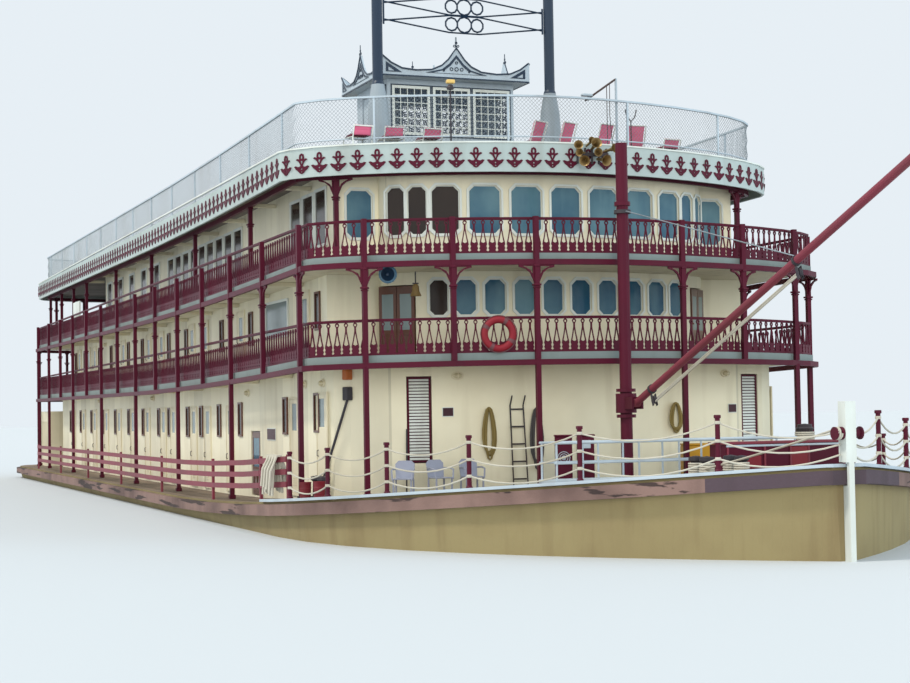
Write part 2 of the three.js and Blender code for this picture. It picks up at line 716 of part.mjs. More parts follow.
function makePilotHouse() {
  const { front, back, half, sill, head, top } = PILOT;
  const length = back - front;
  const x = STEM_X - (front + back) / 2;
  const floor = Math.max(upper(LEVEL.roof)(front), upper(LEVEL.roof)(back)) + GAP;
  const outer = block(length, half * 2, DRAUGHT + top - floor, x, 0, floor);
  const inner = block(length - 2 * WALL, (half - WALL) * 2, 6, x, 0, DRAUGHT + PILOT.base);
  let body = outer.subtract(inner);
  const height = head - sill;
  const z = DRAUGHT + (sill + head) / 2;
  for (const y of [-1.34, 0, 1.34]) {
    body = body.subtract(box(0.6, 1.14, height, STEM_X - front, y, z));
    body = body.subtract(box(0.6, 1.14, height, STEM_X - back, y, z));
  }
  for (const side of [-1, 1]) {
    body = body.subtract(box(1.1, 0.6, height, STEM_X - front - 0.78, side * half, z));
    const [w, h] = [PILOT_DOOR.width + 2 * DOOR_GAP, PILOT_DOOR.height + 2 * DOOR_GAP];
    body = body.subtract(box(w, 0.6, h, pilotDoorX(), side * half, pilotDoorZ()));
  }
  return body;
}

function pilotDoorLeaf(side) {
  const { width, height, thick } = PILOT_DOOR;
  return box(width, thick, height, pilotDoorX(), side * (PILOT.half - WALL / 2), pilotDoorZ());
}

// The pilot house roof: a low hip behind four crest boards, each with a peak at its middle and ends
const CREST = [
  // share of the board's half-length, rise above the wall head
  [0, 0.97], [0.11, 0.6], [0.2, 0.4], [0.34, 0.25], [0.55, 0.21], [0.74, 0.25], [0.88, 0.4], [1, 0.62],
];

function makePilotRoof() {
  const x = STEM_X - (PILOT.front + PILOT.back) / 2;
  const low = DRAUGHT + PILOT.top + GAP;
  const reachX = (PILOT.back - PILOT.front) / 2 + 0.45;
  const reachY = PILOT.half + 0.33;
  const square = (rise, share) => {
    const [ex, ey, z] = [reachX * share, reachY * share, low + rise];
    return [[x - ex, -ey, z], [x + ex, -ey, z], [x + ex, ey, z], [x - ex, ey, z]];
  };
  const hip = loft([square(0, 0.995), square(0.16, 0.995), square(0.42, 0.25)]);
  const parts = [hip, rodZ(0.03, 0.45, x, 0, low + 0.35, 8)];
  const board = (reach, turn, atX, atY) => {
    const right = CREST.map(([share, rise]) => [share * reach, rise]);
    const left = right.slice(1).map(([across, rise]) => [-across, rise]).reverse();
    const outline = [...left, ...right, [reach, 0.01], [-reach, 0.01]];
    return plateXZ(outline, 0.06, 0).rotate([0, 0, turn]).translate([atX, atY, low]);
  };
  for (const way of [-1, 1]) {
    parts.push(board(reachY + 0.03, 90, x + way * reachX, 0));
    parts.push(board(reachX + 0.03, 0, x, way * reachY));
  }
  parts.push(rodZ(0.025, 0.4, x + reachX, 0, low + 0.9, 6));
  return join(parts);
}

function makeFunnel(side) {
  const { aft, side: out, radius, bell, neck, skirt, top } = FUNNEL;
  const x = STEM_X - aft;
  const y = side * out;
  const foot = upper(LEVEL.roof)(aft - 0.5) + GAP;
  const up = (level) => DRAUGHT + level - foot;
  const base = [[0, 0], [0.62, 0], [0.62, 0.35], [bell + 0.04, 0.5]];
  const shoulder = [[bell, up(skirt)], [bell * 0.9, up(skirt) + 0.55]];
  const pipe = [[radius + 0.03, up(neck)], [radius, up(neck) + 0.08], [radius, up(top) - 0.75]];
  const crown = [[radius + 0.16, up(top) - 0.3], [radius + 0.1, up(top)], [radius - 0.04, up(top)]];
  const flue = [[radius - 0.04, up(top) - 2], [0, up(top) - 2]];
  return turned([...base, ...shoulder, ...pipe, ...crown, ...flue], x, y, foot, 20);
}

// Two lens-shaped scroll trusses between the funnels
function makeFunnelTruss() {
  const x = STEM_X - FUNNEL.aft;
  const reach = FUNNEL.side - FUNNEL.radius - 0.05;
  const parts = [];
  for (const level of [14.83, 15.37]) {
    const z = DRAUGHT + level;
    const rise = 0.26;
    for (const way of [-1, 1]) {
      for (const side of [-1, 1]) {
        parts.push(bar([x, side * reach, z - 0.02 * way], [x, side * 0.5, z + way * rise], 0.05, 4));
      }
      parts.push(bar([x, -0.52, z + way * rise], [x, 0.52, z + way * rise], 0.05, 4));
    }
    for (const [y, radius] of [[-0.42, 0.2], [0, 0.24], [0.42, 0.2]]) {
      const ring = new THREE.TorusGeometry(radius, 0.03, 4, 10);
      parts.push(solid(put(ring, x, y, z, 0, QUARTER)));
    }
  }
  for (const side of [-1, 1]) {
    const y = side * reach;
    parts.push(bar([x, y, DRAUGHT + 14.7], [x, y, DRAUGHT + 15.5], 0.06, 8));
  }
  return join(parts);
}

// Rail round the top deck
const TOP_RAIL = { height: 1.4, inset: 0.45 };

function makeTopRail() {
  const plan = offset(ROOF_PLAN, -TOP_RAIL.inset);
  const floor = upper(LEVEL.roof);
  const top = raised(floor, TOP_RAIL.height);
  const parts = [band(plan, 0.035, -0.035, raised(top, -0.05), top)];
  walk(plan, POST_PITCH, (x, y, turn, aft) => {
    parts.push(block(0.05, 0.05, TOP_RAIL.height - 0.03, x, y, floor(aft) + GAP, turn));
  });
  return join(parts);
}

// Stern wheel: three spoked frames, floats and a shaft, on bearings on the hull's two quarters
const polar = (radius, angle) => new THREE.Vector2(radius * Math.cos(angle), radius * Math.sin(angle));

function makeWheelFrame(x, y, z) {
  const { radius, floats } = WHEEL;
  const [rim, rimInner, hub, spoke] = [radius - 0.42, radius - 0.56, 0.42, 0.055];
  const step = (Math.PI * 2) / floats;
  const outline = [];
  const shape = new THREE.Shape();
  for (let index = 0; index < floats; index += 1) {
    const angle = index * step;
    outline.push(polar(rim, angle - spoke / rim), polar(radius, angle - spoke / radius));
    outline.push(polar(radius, angle + spoke / radius), polar(rim, angle + spoke / rim));
    outline.push(polar(rim, angle + step / 2));
    const next = angle + step;
    const hole = [polar(hub, angle + spoke / hub), polar(rimInner, angle + spoke / rimInner)];
    hole.push(polar(rimInner, angle + step / 2), polar(rimInner, next - spoke / rimInner));
    hole.push(polar(hub, next - spoke / hub));
    shape.holes.push(new THREE.Path(hole));
  }
  shape.setFromPoints(outline);
  const geometry = new THREE.ExtrudeGeometry(shape, { depth: 0.1, bevelEnabled: false });
  return solid(put(geometry, x, y + 0.05, z, QUARTER));
}

function makeWheel() {
  const x = STEM_X - WHEEL.aft;
  const z = DRAUGHT + WHEEL.level;
  const parts = [rodY(WHEEL.shaft, WHEEL.half * 2 + 1.3, x, 0, z, 16)];
  for (const frame of [-1, 0, 1]) parts.push(makeWheelFrame(x, frame * (WHEEL.half - 0.12), z));
  for (let float = 0; float < WHEEL.floats; float += 1) {
    const angle = (float / WHEEL.floats) * Math.PI * 2;
    const reach = WHEEL.radius - 0.2;
    const geometry = new THREE.BoxGeometry(0.36, WHEEL.half * 2, 0.05);
    parts.push(solid(put(geometry, x + reach * Math.cos(angle), 0, z + reach * Math.sin(angle), 0, -angle)));
  }
  return join(parts);
}

function makeBearing(side) {
  const x = STEM_X - WHEEL.aft;
  const z = DRAUGHT + WHEEL.level;
  const y = side * (WHEEL_WELL_HALF + 0.13);
  const foot = onDeck(WHEEL.aft, 0.5);
  const stand = block(0.9, 0.2, z + 0.28 - foot, x, y, foot);
  return stand.subtract(rodY(WHEEL.shaft + 0.02, 1, x, y, z, 20));
}

// Cream slitted casing beside each end of the wheel
const CASING = { start: 58.4, end: 62.0, inner: 5.15, outer: 7.05, height: 2.7, slits: 9, slitDepth: 0.08 };

function makeCasing(side) {
  const { start, end, inner, outer, height, slits, slitDepth } = CASING;
  const foot = onDeck(start, 0);
  const x = STEM_X - (start + end) / 2;
  let body = block(end - start, outer - inner, height, x, (side * (inner + outer)) / 2, foot);
  for (let slit = 0; slit < slits; slit += 1) {
    const at = STEM_X - start - 0.45 - slit * 0.34;
    body = body.subtract(block(0.14, 2 * slitDepth, 1.6, at, side * outer, foot + 0.6));
  }
  return body;
}

// Deck fittings
const CAPSTAN = { aft: 8.95, y: 4.78, base: 0.35 };

function makeCapstan() {
  const foot = onDeck(CAPSTAN.aft, 0.45) + CAPSTAN.base;
  const pedestal = [[0, 0], [0.28, 0], [0.28, 0.06], [0.2, 0.12], [0.18, 0.46]];
  const drum = [[0.29, 0.52], [0.29, 0.58], [0.2, 0.64], [0.2, 0.9], [0.24, 0.98]];
  const head = [[0.19, 1.02], [0.19, 1.08], [0, 1.1]];
  return turned([...pedestal, ...drum, ...head], STEM_X - CAPSTAN.aft, CAPSTAN.y, foot + 2 * GAP, 16);
}

function makeCapstanBase() {
  const { aft, y, base } = CAPSTAN;
  return block(0.85, 0.85, base, STEM_X - aft, y, onDeck(aft, 0.45));
}

const BOLLARDS = [
  // aft, y, name
  [5.6, -0.1, 'bollard_fore_starboard'],
  [5.6, 0.8, 'bollard_fore_port'],
  [11.9, -7.2, 'bollard_side_starboard'],
  [11.9, 7.2, 'bollard_side_port'],
];

function makeBollard(aft, y) {
  const foot = onDeck(aft, 0.45);
  const x = STEM_X - aft;
  const parts = [block(0.85, 0.36, 0.07, x, y, foot)];
  const horn = [[0, 0], [0.13, 0], [0.12, 0.4], [0.17, 0.44], [0.17, 0.52], [0, 0.55]];
  for (const way of [-1, 1]) parts.push(turned(horn, x + way * 0.25, y, foot + 0.03, 12));
  return join(parts);
}

const CHEST = { aft: 6.95, from: 1.1, to: 4.4, depth: 0.75, height: 0.88 };

function makeChest() {
  const { aft, from, to, depth, height } = CHEST;
  const foot = onDeck(aft, 0.5);
  const [x, y] = [STEM_X - aft, (from + to) / 2];
  const outer = block(depth, to - from, height, x, y, foot);
  return outer.subtract(block(depth - 0.1, to - from - 0.1, height, x, y, foot + 0.05));
}

function makeChestLid() {
  const { aft, from, to, depth, height } = CHEST;
  const z = onDeck(aft, 0.5) + height + DOOR_GAP / 2;
  return block(depth + 0.06, to - from + 0.06, 0.05, STEM_X - aft, (from + to) / 2, z);
}

function makeLampCluster() {
  const aft = ROOF_APEX - 0.12;
  const x = STEM_X - aft;
  const z = DRAUGHT + LEVEL.fascia + 0.75;
  const parts = [block(0.06, 0.95, 0.12, x, 0.3, z)];
  for (const [y, rise] of [[-0.12, 0.1], [0.1, -0.18], [0.3, 0.12], [0.5, -0.18], [0.72, 0.08]]) {
    parts.push(rodX(0.13, 0.22, x + 0.12, y, z + rise + 0.06, 8));
    parts.push(block(0.06, 0.06, 0.4, x, y, z - 0.14));
  }
  return join(parts);
}

function makeEngine() {
  const aft = 54.2;
  return block(3.2, 2.4, 1.5, STEM_X - aft, 0, onDeck(aft, 1.6));
}

function makeScreen(side) {
  const aft = 48.4;
  const floor = upper(LEVEL.floor3)(aft);
  return block(1.7, 0.06, 1.55, STEM_X - aft - 0.9, side * (DECK_HALF - 0.35), floor + GAP);
}

// Assembly
const floor2 = upper(LEVEL.floor2);
const floor3 = upper(LEVEL.floor3);

addPart('hull', makeHull(), 'hull');
addPart('rubbing_strake', makeStrake(), 'timber');
addPart('gunwale_and_stanchions', makeGunwale(), 'maroon');
addPart('stem_post', makeStemPost(), 'white');
addPart('plank_rail_starboard', makePlankRail(-1), 'maroon');
addPart('plank_rail_port', makePlankRail(1), 'maroon');

addPart('house_1', makeHouse1(), 'cream');
const windows2 = bayWindows({
  sides: mirrored([0.41, 1.22, 2.03, 2.81, 3.5]),
  width: (y) => (Math.abs(y) > 3.2 ? 0.5 : 0.58),
  height: 0.95,
  middle: 1.62,
  floor: floor2,
});
const ceiling2 = upper(LEVEL.beam3 + BEAM_DEPTH);
const house2 = makeUpperHouse(floor2, ceiling2, HOUSE_2, windows2, SALOON_DOOR.height);
addPart('house_2', behindBay(house2), 'cream');
addPart('saloon_bay', bayOf(house2), 'cream');
const WINDOW_3_MIDDLE = 1.45;
const windows3 = bayWindows({
  sides: mirrored([1.13, 2.27, 3.3, 4.0, 4.5]).concat([0]),
  width: (y) => (Math.abs(y) > 3.9 ? 0.5 : 0.86 - Math.max(0, Math.abs(y) - 2.3) * 0.12),
  height: 1.28,
  middle: WINDOW_3_MIDDLE,
  floor: floor3,
});
for (const side of [-1, 1]) {
  const middle = floor3(HOUSE_FRONT) + WINDOW_3_MIDDLE;
  windows3.push(windowCutter(0.72, 1.28, STEM_X - HOUSE_FRONT, side * 5.27, middle, QUARTER));
}
const ceiling3 = upper(LEVEL.ceiling3 - GAP);
const house3 = makeUpperHouse(floor3, ceiling3, HOUSE_3, windows3, 0);
addPart('house_3', behindBay(house3), 'cream');
addPart('lounge_bay', bayOf(house3), 'cream');

const deckPlan = offset(DECK_PLAN, -0.1);
addPart('deck_2', slab(deckPlan, upper(LEVEL.beam2 + BEAM_DEPTH + GAP), floor2), 'white');
addPart('deck_3', slab(deckPlan, upper(LEVEL.beam3 + BEAM_DEPTH + GAP), floor3), 'white');
addPart('roof_deck', slab(offset(ROOF_PLAN, -0.08), upper(LEVEL.ceiling3), upper(LEVEL.roof)), 'deck');
addPart('roof_fascia', band(ROOF_PLAN, 0, -0.07, upper(LEVEL.fascia), upper(LEVEL.fasciaTop)), 'white');

const frame1Posts = postPlaces({
  plan: DECK_PLAN,
  sideStations: SIDE_POSTS.filter((_, index) => index % 2 === 0 || index > 11),
  frontSides: [FRONT_POSTS[0], FRONT_POSTS[2]],
  sternSides: STERN_POSTS.slice(0, 1),
  half: DECK_HALF,
});
const frame2Posts = postPlaces({
  plan: DECK_PLAN,
  sideStations: SIDE_POSTS,
  frontSides: FRONT_POSTS,
  sternSides: STERN_POSTS,
  half: DECK_HALF,
});
const roofBeam = offset(ROOF_PLAN, -ROOF_OVERHANG);
const frame3Posts = postPlaces({
  plan: roofBeam,
  sideStations: SIDE_POSTS.filter((aft, index) => index > 9 || (index > 1 && index % 2 === 0)),
  frontSides: [6.0],
  sternSides: [6.3, 4.8, 3.0, 1.0],
  half: ROOF_HALF - ROOF_OVERHANG,
});
const onBeam2 = upper(LEVEL.beam2 + BEAM_DEPTH + GAP);
const overBeam3 = LEVEL.floor3 + RAIL_HEIGHT - LEVEL.beam3;
const frame1 = makeFrame(frame1Posts, DECK_PLAN, raised(mainDeck, GAP), upper(LEVEL.beam2));
const frame2 = makeFrame(frame2Posts, DECK_PLAN, onBeam2, upper(LEVEL.beam3), overBeam3);
const frame3 = makeFrame(frame3Posts, roofBeam, raised(floor3, GAP), upper(LEVEL.fascia));
addPart('veranda_frame_1', frame1, 'maroon');
addPart('veranda_frame_2', frame2, 'maroon');
addPart('veranda_frame_3', frame3, 'maroon');
addPart('railing_2', makeRailing(DECK_PLAN, floor2), 'maroon');
addPart('railing_3', makeRailing(DECK_PLAN, floor3), 'maroon');
addPart('top_rail', makeTopRail(), 'white');
for (const side of [-1, 1]) addPart(`screen_${sideName(side)}`, makeScreen(side), 'white');

for (const side of [-1, 1]) {
  addPart(`saloon_door_${sideName(side)}_inner`, saloonLeaf(side, -1), 'brown');
  addPart(`saloon_door_${sideName(side)}_outer`, saloonLeaf(side, 1), 'brown');
  addPart(`entrance_door_${sideName(side)}`, entranceLeaf(side), 'brown');
  addPart(`pilot_door_${sideName(side)}`, pilotDoorLeaf(side), 'white');
}
for (const { name, y } of LOUVRE) addPart(name, louvreLeaf(y), 'cream');

addPart('mast', makeMast(), 'maroon');
addPart('boom_swivel', makeSwivel(), 'maroon');
addPart('boom', makeBoom(), 'red');
addPart('landing_stage', makeLandingStage(), 'white');
addPart('capstan_base', makeCapstanBase(), 'iron');
addPart('capstan', makeCapstan(), 'iron');
for (const [aft, y, name] of BOLLARDS) addPart(name, makeBollard(aft, y), 'iron');
addPart('deck_chest', makeChest(), 'maroon');
addPart('chest_lid', makeChestLid(), 'maroon');

addPart('pilot_house', makePilotHouse(), 'white');
addPart('pilot_roof', makePilotRoof(), 'white');
addPart('funnel_starboard', makeFunnel(-1), 'navy');
addPart('funnel_port', makeFunnel(1), 'navy');
addPart('funnel_truss', makeFunnelTruss(), 'navy');
addPart('lamp_cluster', makeLampCluster(), 'brass');

addPart('stern_wheel', makeWheel(), 'red');
for (const side of [-1, 1]) {
  addPart(`wheel_bearing_${sideName(side)}`, makeBearing(side), 'iron');
  addPart(`wheel_casing_${sideName(side)}`, makeCasing(side), 'cream');
}
addPart('rudder_starboard', makeRudder(RUDDER_SIDES[0]), 'iron');
addPart('rudder_centre', makeRudder(RUDDER_SIDES[1]), 'iron');
addPart('rudder_port', makeRudder(RUDDER_SIDES[2]), 'iron');
addPart('engine_block', makeEngine(), 'iron');

export default ship;
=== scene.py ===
"""Looks of the stern-wheel river steamer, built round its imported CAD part.

Sizes are those of the full-size vessel, in metres, and MODEL brings them to the 1:2 model.
A station is a distance aft of the stem. A level is a height above the waterline.
"""
import math

import bmesh
import bpy
import numpy as np
from mathutils import Matrix, Vector


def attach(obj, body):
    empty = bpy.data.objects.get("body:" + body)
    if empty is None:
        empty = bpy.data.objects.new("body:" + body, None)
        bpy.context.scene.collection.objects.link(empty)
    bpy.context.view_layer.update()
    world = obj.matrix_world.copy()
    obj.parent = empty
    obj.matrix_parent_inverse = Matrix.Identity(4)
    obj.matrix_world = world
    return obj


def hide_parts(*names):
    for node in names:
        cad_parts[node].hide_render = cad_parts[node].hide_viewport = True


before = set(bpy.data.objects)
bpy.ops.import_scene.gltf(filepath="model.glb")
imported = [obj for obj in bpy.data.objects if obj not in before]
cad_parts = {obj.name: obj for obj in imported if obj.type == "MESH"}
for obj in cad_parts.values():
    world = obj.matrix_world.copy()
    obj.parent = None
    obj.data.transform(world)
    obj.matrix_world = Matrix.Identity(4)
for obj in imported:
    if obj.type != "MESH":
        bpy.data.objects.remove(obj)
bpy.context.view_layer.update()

# %% [markdown]
# The vessel's own dimensions come first, because every piece below is placed by them. They are the
# same ones that shaped the CAD: the stem, the draught, the rise of the decks toward the bow, and
# the plan outlines of decks, roof and deckhouses.

# %% Dimensions of the full-size vessel
MODEL = 0.5
STEM = 33.5
DRAUGHT = 1.05
FLOOR_2, FLOOR_3, ROOF = 4.1, 6.57, 9.6
BEAM_2, BEAM_3, FASCIA, FASCIA_TOP = 3.77, 6.26, 8.9, 9.68
BEAM_DEPTH = 0.14
FIRST_POST, POST_PITCH = 12.77, 3.56
SIDE_POSTS = [FIRST_POST + POST_PITCH * bay for bay in range(15)]
BOW_STATIONS = [0, 0.4, 1, 1.8, 3, 4.4, 5.65, 7.4, 9.21, 10.99]
STATIONS = BOW_STATIONS + SIDE_POSTS[:8]
HOUSE_HALF = {1: 6.53, 2: 6.2, 3: 5.95}
HOUSE_END = {1: 57.2, 2: 56.0, 3: 48.4}
HOUSE_FRONT = 14.4
SIDES = (1, -1)
SIDE_OF = {"starboard": -1, "port": 1}


def between_stations(height):
    values = [height(station) for station in STATIONS]
    return lambda aft: height(aft) if aft > STATIONS[-1] else float(np.interp(aft, STATIONS, values))


sheer = between_stations(lambda aft: 0.8 * max(0, 1 - aft / 35.2) ** 2)
bow_rise = between_stations(lambda aft: 1.27 * max(0, 1 - aft / 25) ** 2)


def main_deck(aft):
    return DRAUGHT + 0.58 + bow_rise(aft)


def upper(level):
    return lambda aft: DRAUGHT + level + sheer(aft)


def bow_curve(half, apex, corner, power, steps=8):
    turns = [step / steps * math.pi / 2 for step in range(steps + 1)]
    return [(corner - (corner - apex) * max(0, math.cos(t)) ** (2 / power),
             half * math.sin(t) ** (2 / power)) for t in turns]


def stern_curve(half, start, end, steps=5):
    turns = [step / steps * math.pi / 2 for step in range(steps + 1)]
    return [(start + (end - start) * math.sin(t) ** (1 / 1.2), half * max(0, math.cos(t)) ** (1 / 1.2))
            for t in turns]


def inset(plan, distance):
    moved = []
    for index, (aft, half) in enumerate(plan):
        before, after = plan[max(0, index - 1)], plan[min(len(plan) - 1, index + 1)]
        along = Vector((after[0] - before[0], after[1] - before[1])).normalized()
        if half < 0.03:
            moved.append((aft + (distance if index == 0 else -distance), 0))
        else:
            moved.append((aft + along.y * distance, half - along.x * distance))
    return moved


DECK_PLAN = bow_curve(7.43, 10.0, 12.46, 1.6) + stern_curve(7.43, 59.6, 62.6)
ROOF_PLAN = bow_curve(7.3, 11.9, 14.9, 1.65) + stern_curve(7.3, 59.6, 62.2)
BAY_PLAN = bow_curve(4.75, 12.8, 14.2, 2, 40)
HOUSE_1_PLAN = bow_curve(6.53, 12.3, 13.5, 2, 40)
HULL_PLAN = [(aft, 0.28 + 7.84 * (1 - (1 - min(1, aft / 13.2)) ** 2.15)) for aft in
             BOW_STATIONS + [12.77, 13.2]] + [(60.8, 8.12), (61.9, 7.77), (62.4, 7.12)]

# %% [markdown]
# Most of the ship's trim repeats along a line: balusters, brackets, fascia ornaments. A place is
# therefore a 4x4 matrix whose X runs along the wall, whose Y points outward and whose Z is up.
# Every piece is modelled once, at the origin, and then copied to its places as one mesh.


# %% Places along walls and outlines
def shift(x, y, z):
    return Matrix.Translation((x, y, z))


def spin(angle, axis):
    return Matrix.Rotation(angle, 4, axis)


def turn_steps(count, stop=None):
    """Angles round a full turn, or on past it."""
    return [step / count * math.tau for step in range(stop or count)]


def place(aft, y, z, facing):
    """A place at a station whose outward side faces the angle, 0 being forward."""
    return shift(STEM - aft, y, z) @ spin(facing - math.pi / 2, "Z")


def side_facing(side):
    return side * math.pi / 2


def along(plan, pitch, height, start=0.0, stop=None):
    """Places at an even pitch round a plan, both sides, at the height that goes with the station."""
    points = [Vector((STEM - aft, -half)) for aft, half in plan]
    spans = [(b - a).length for a, b in zip(points, points[1:])]
    whole = sum(spans)
    count = round(whole / pitch)
    places = []
    for step in range(count):
        left = (step + 0.5) * whole / count
        if left < start or (stop and left > stop):
            continue
        leg = 0
        while left > spans[leg]:
            left -= spans[leg]
            leg += 1
        way = (points[leg + 1] - points[leg]).normalized()
        at = points[leg] + way * left
        facing = math.atan2(way.x, -way.y)
        for side in SIDES:
            places.append(place(STEM - at.x, side * at.y, height(STEM - at.x), side * facing))
    return places


def on_plan(plan, y):
    """Station and slope of a bow plan at a distance from the centreline."""
    halves = [half for _, half in plan]
    afts = [aft for aft, _ in plan]
    reach = halves.index(max(halves)) + 1
    at = float(np.interp(abs(y), halves[:reach], afts[:reach]))
    ahead = float(np.interp(max(0, abs(y) - 0.05), halves[:reach], afts[:reach]))
    behind = float(np.interp(abs(y) + 0.05, halves[:reach], afts[:reach]))
    slope = math.atan2(behind - ahead, abs(y) + 0.05 - max(0, abs(y) - 0.05))
    return at, math.copysign(slope, y) if y else 0.0


def front(plan, y, z):
    aft, slope = on_plan(plan, y)
    return place(aft, y, z(aft) if callable(z) else z, slope)


# %% Shapes: each is its points and faces, in full-size metres
def taken(thing):
    """Takes the shape out of an object made at the origin, and removes the object."""
    bpy.ops.object.select_all(action="DESELECT")
    thing.select_set(True)
    bpy.context.view_layer.objects.active = thing
    bpy.ops.object.convert(target="MESH")
    bpy.ops.object.transform_apply(location=True, rotation=True, scale=True)
    bpy.ops.object.mode_set(mode="EDIT")
    bpy.ops.mesh.select_all(action="SELECT")
    bpy.ops.mesh.remove_doubles(threshold=1e-5)
    bpy.ops.mesh.normals_make_consistent(inside=False)
    bpy.ops.object.mode_set(mode="OBJECT")
    mesh = bpy.context.object.data
    points = np.empty(len(mesh.vertices) * 3)
    mesh.vertices.foreach_get("co", points)
    faces = [tuple(face.vertices) for face in mesh.polygons]
    bpy.ops.object.delete()
    return points.reshape(-1, 3), faces


def block(size, at=(0, 0, 0), bevel=0.0, taper=1.0, turn=(0, 0, 0)):
    """A box with softened edges. taper narrows its top."""
    bpy.ops.object.select_all(action="DESELECT")
    bpy.ops.mesh.primitive_cube_add(size=1, location=at, rotation=turn)
    thing = bpy.context.object
    thing.scale = size
    bpy.ops.object.transform_apply(location=False, rotation=False, scale=True)
    if taper != 1:
        for vertex in thing.data.vertices:
            if vertex.co.z > 0:
                vertex.co.x *= taper
                vertex.co.y *= taper
    if bevel:
        bpy.ops.object.mode_set(mode="EDIT")
        bpy.ops.mesh.select_all(action="SELECT")
        bpy.ops.mesh.bevel(offset=bevel, segments=1)
        bpy.ops.object.mode_set(mode="OBJECT")
    return taken(thing)


def fretwork(outlines, depth, bevel=0.0, y=0.0):
    """A plate cut to flat outlines of (across, up), the later ones being holes, standing up."""
    curve = bpy.data.curves.new("fretwork", "CURVE")
    curve.dimensions = "2D"
    curve.fill_mode = "BOTH"
    curve.extrude = depth / 2 - bevel
    curve.bevel_depth = bevel
    curve.bevel_resolution = 0
    for outline in outlines:
        spline = curve.splines.new("POLY")
        spline.points.add(len(outline) - 1)
        for point, (across, up) in zip(spline.points, outline):
            point.co = (across, up, 0, 1)
        spline.use_cyclic_u = True
    thing = bpy.data.objects.new("fretwork", curve)
    bpy.context.collection.objects.link(thing)
    thing.rotation_euler = (math.pi / 2, 0, 0)
    thing.location = (0, y, 0)
    return taken(thing)


def tube(path, radius, sides=2, closed=False):
    """A round bar along a path."""
    curve = bpy.data.curves.new("tube", "CURVE")
    curve.dimensions = "3D"
    curve.bevel_depth = radius
    curve.bevel_resolution = sides
    curve.use_fill_caps = True
    spline = curve.splines.new("POLY")
    spline.points.add(len(path) - 1)
    for point, co in zip(spline.points, path):
        point.co = (*co, 1)
    spline.use_cyclic_u = closed
    thing = bpy.data.objects.new("tube", curve)
    bpy.context.collection.objects.link(thing)
    return taken(thing)


def lathe(profile, sides=16, at=(0, 0, 0), turn=(0, 0, 0)):
    """A turned piece from its profile of (radius, height)."""
    mesh = bpy.data.meshes.new("profile")
    mesh.from_pydata([(radius, 0, up) for radius, up in profile],
                     [(i, i + 1) for i in range(len(profile) - 1)], [])
    thing = bpy.data.objects.new("lathe", mesh)
    bpy.context.collection.objects.link(thing)
    bpy.ops.object.select_all(action="DESELECT")
    thing.select_set(True)
    bpy.context.view_layer.objects.active = thing
    screw = thing.modifiers.new("turn", "SCREW")
    screw.steps = screw.render_steps = sides
    screw.use_merge_vertices = True
    screw.merge_threshold = 1e-4
    screw.use_normal_calculate = True
    thing.location = at
    thing.rotation_euler = turn
    return taken(thing)


def joined(*shapes):
    points, faces, count = [], [], 0
    for own, sides in shapes:
        points.append(own)
        faces += [tuple(corner + count for corner in side) for side in sides]
        count += len(own)
    return np.concatenate(points), faces


def moved(shape, matrix):
    points, faces = shape
    turn = np.array(matrix.to_3x3())
    if np.linalg.det(turn) < 0:
        faces = [tuple(reversed(face)) for face in faces]
    return points @ turn.T + np.array(matrix.translation), faces


def shifted(shape, x=0.0, y=0.0, z=0.0, turn=0.0, axis="Z"):
    return moved(shape, shift(x, y, z) @ spin(turn, axis))


def swept(plan, height, section):
    """A moulding of section (outward, up) along a plan, round both sides of the ship."""
    starboard = [(STEM - aft, -half, aft) for aft, half in plan]
    whole = starboard + [(x, -y, aft) for x, y, aft in reversed(starboard)]
    whole = [spot for index, spot in enumerate(whole)
             if Vector(spot[:2]) != Vector(whole[index - 1][:2])]
    rings = []
    for index, (x, y, aft) in enumerate(whole):
        before, after = Vector(whole[index - 1][:2]), Vector(whole[(index + 1) % len(whole)][:2])
        way = (after - before).normalized()
        outward = Vector((-way.y, way.x))
        for out, up in section:
            rings.append((x + outward.x * out, y + outward.y * out, height(aft) + up))
    size, count = len(section), len(whole)
    faces = []
    for ring in range(count):
        following = (ring + 1) % count
        for corner in range(size):
            beyond = (corner + 1) % size
            faces.append((ring * size + corner, ring * size + beyond,
                          following * size + beyond, following * size + corner))
    return np.array(rings), faces


# %% A finished piece: one mesh, at the origin, riding its body
counts = {}


def piece(name, copies, material, body="ship", replaces=(), smooth=0):
    """copies is a list of (shape, places). material may be a list that goes with the copies."""
    points, faces, numbers, count = [], [], [], 0
    materials = material if isinstance(material, list) else [material] * len(copies)
    kinds = list(dict.fromkeys(materials))
    for (shape, places), own in zip(copies, materials):
        for at in places or [Matrix()]:
            spots, sides = moved(shape, at)
            points.append(spots)
            faces += [tuple(corner + count for corner in side) for side in sides]
            numbers += [kinds.index(own)] * len(sides)
            count += len(spots)
    mesh = bpy.data.meshes.new(name)
    mesh.from_pydata((np.concatenate(points) * MODEL).tolist(), [], faces)
    mesh.update()
    for kind in kinds:
        mesh.materials.append(kind)
    mesh.polygons.foreach_set("material_index", numbers)
    thing = bpy.data.objects.new(name, mesh)
    bpy.context.collection.objects.link(thing)
    bpy.ops.object.select_all(action="DESELECT")
    thing.select_set(True)
    bpy.context.view_layer.objects.active = thing
    if smooth:
        bpy.ops.object.shade_smooth_by_angle(angle=math.radians(smooth))
    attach(thing, body)
    for node in replaces:
        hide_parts(node)
    mesh.calc_loop_triangles()
    counts[name] = len(mesh.loop_triangles)
    print(f"{name}: {counts[name]} triangles")
    return thing
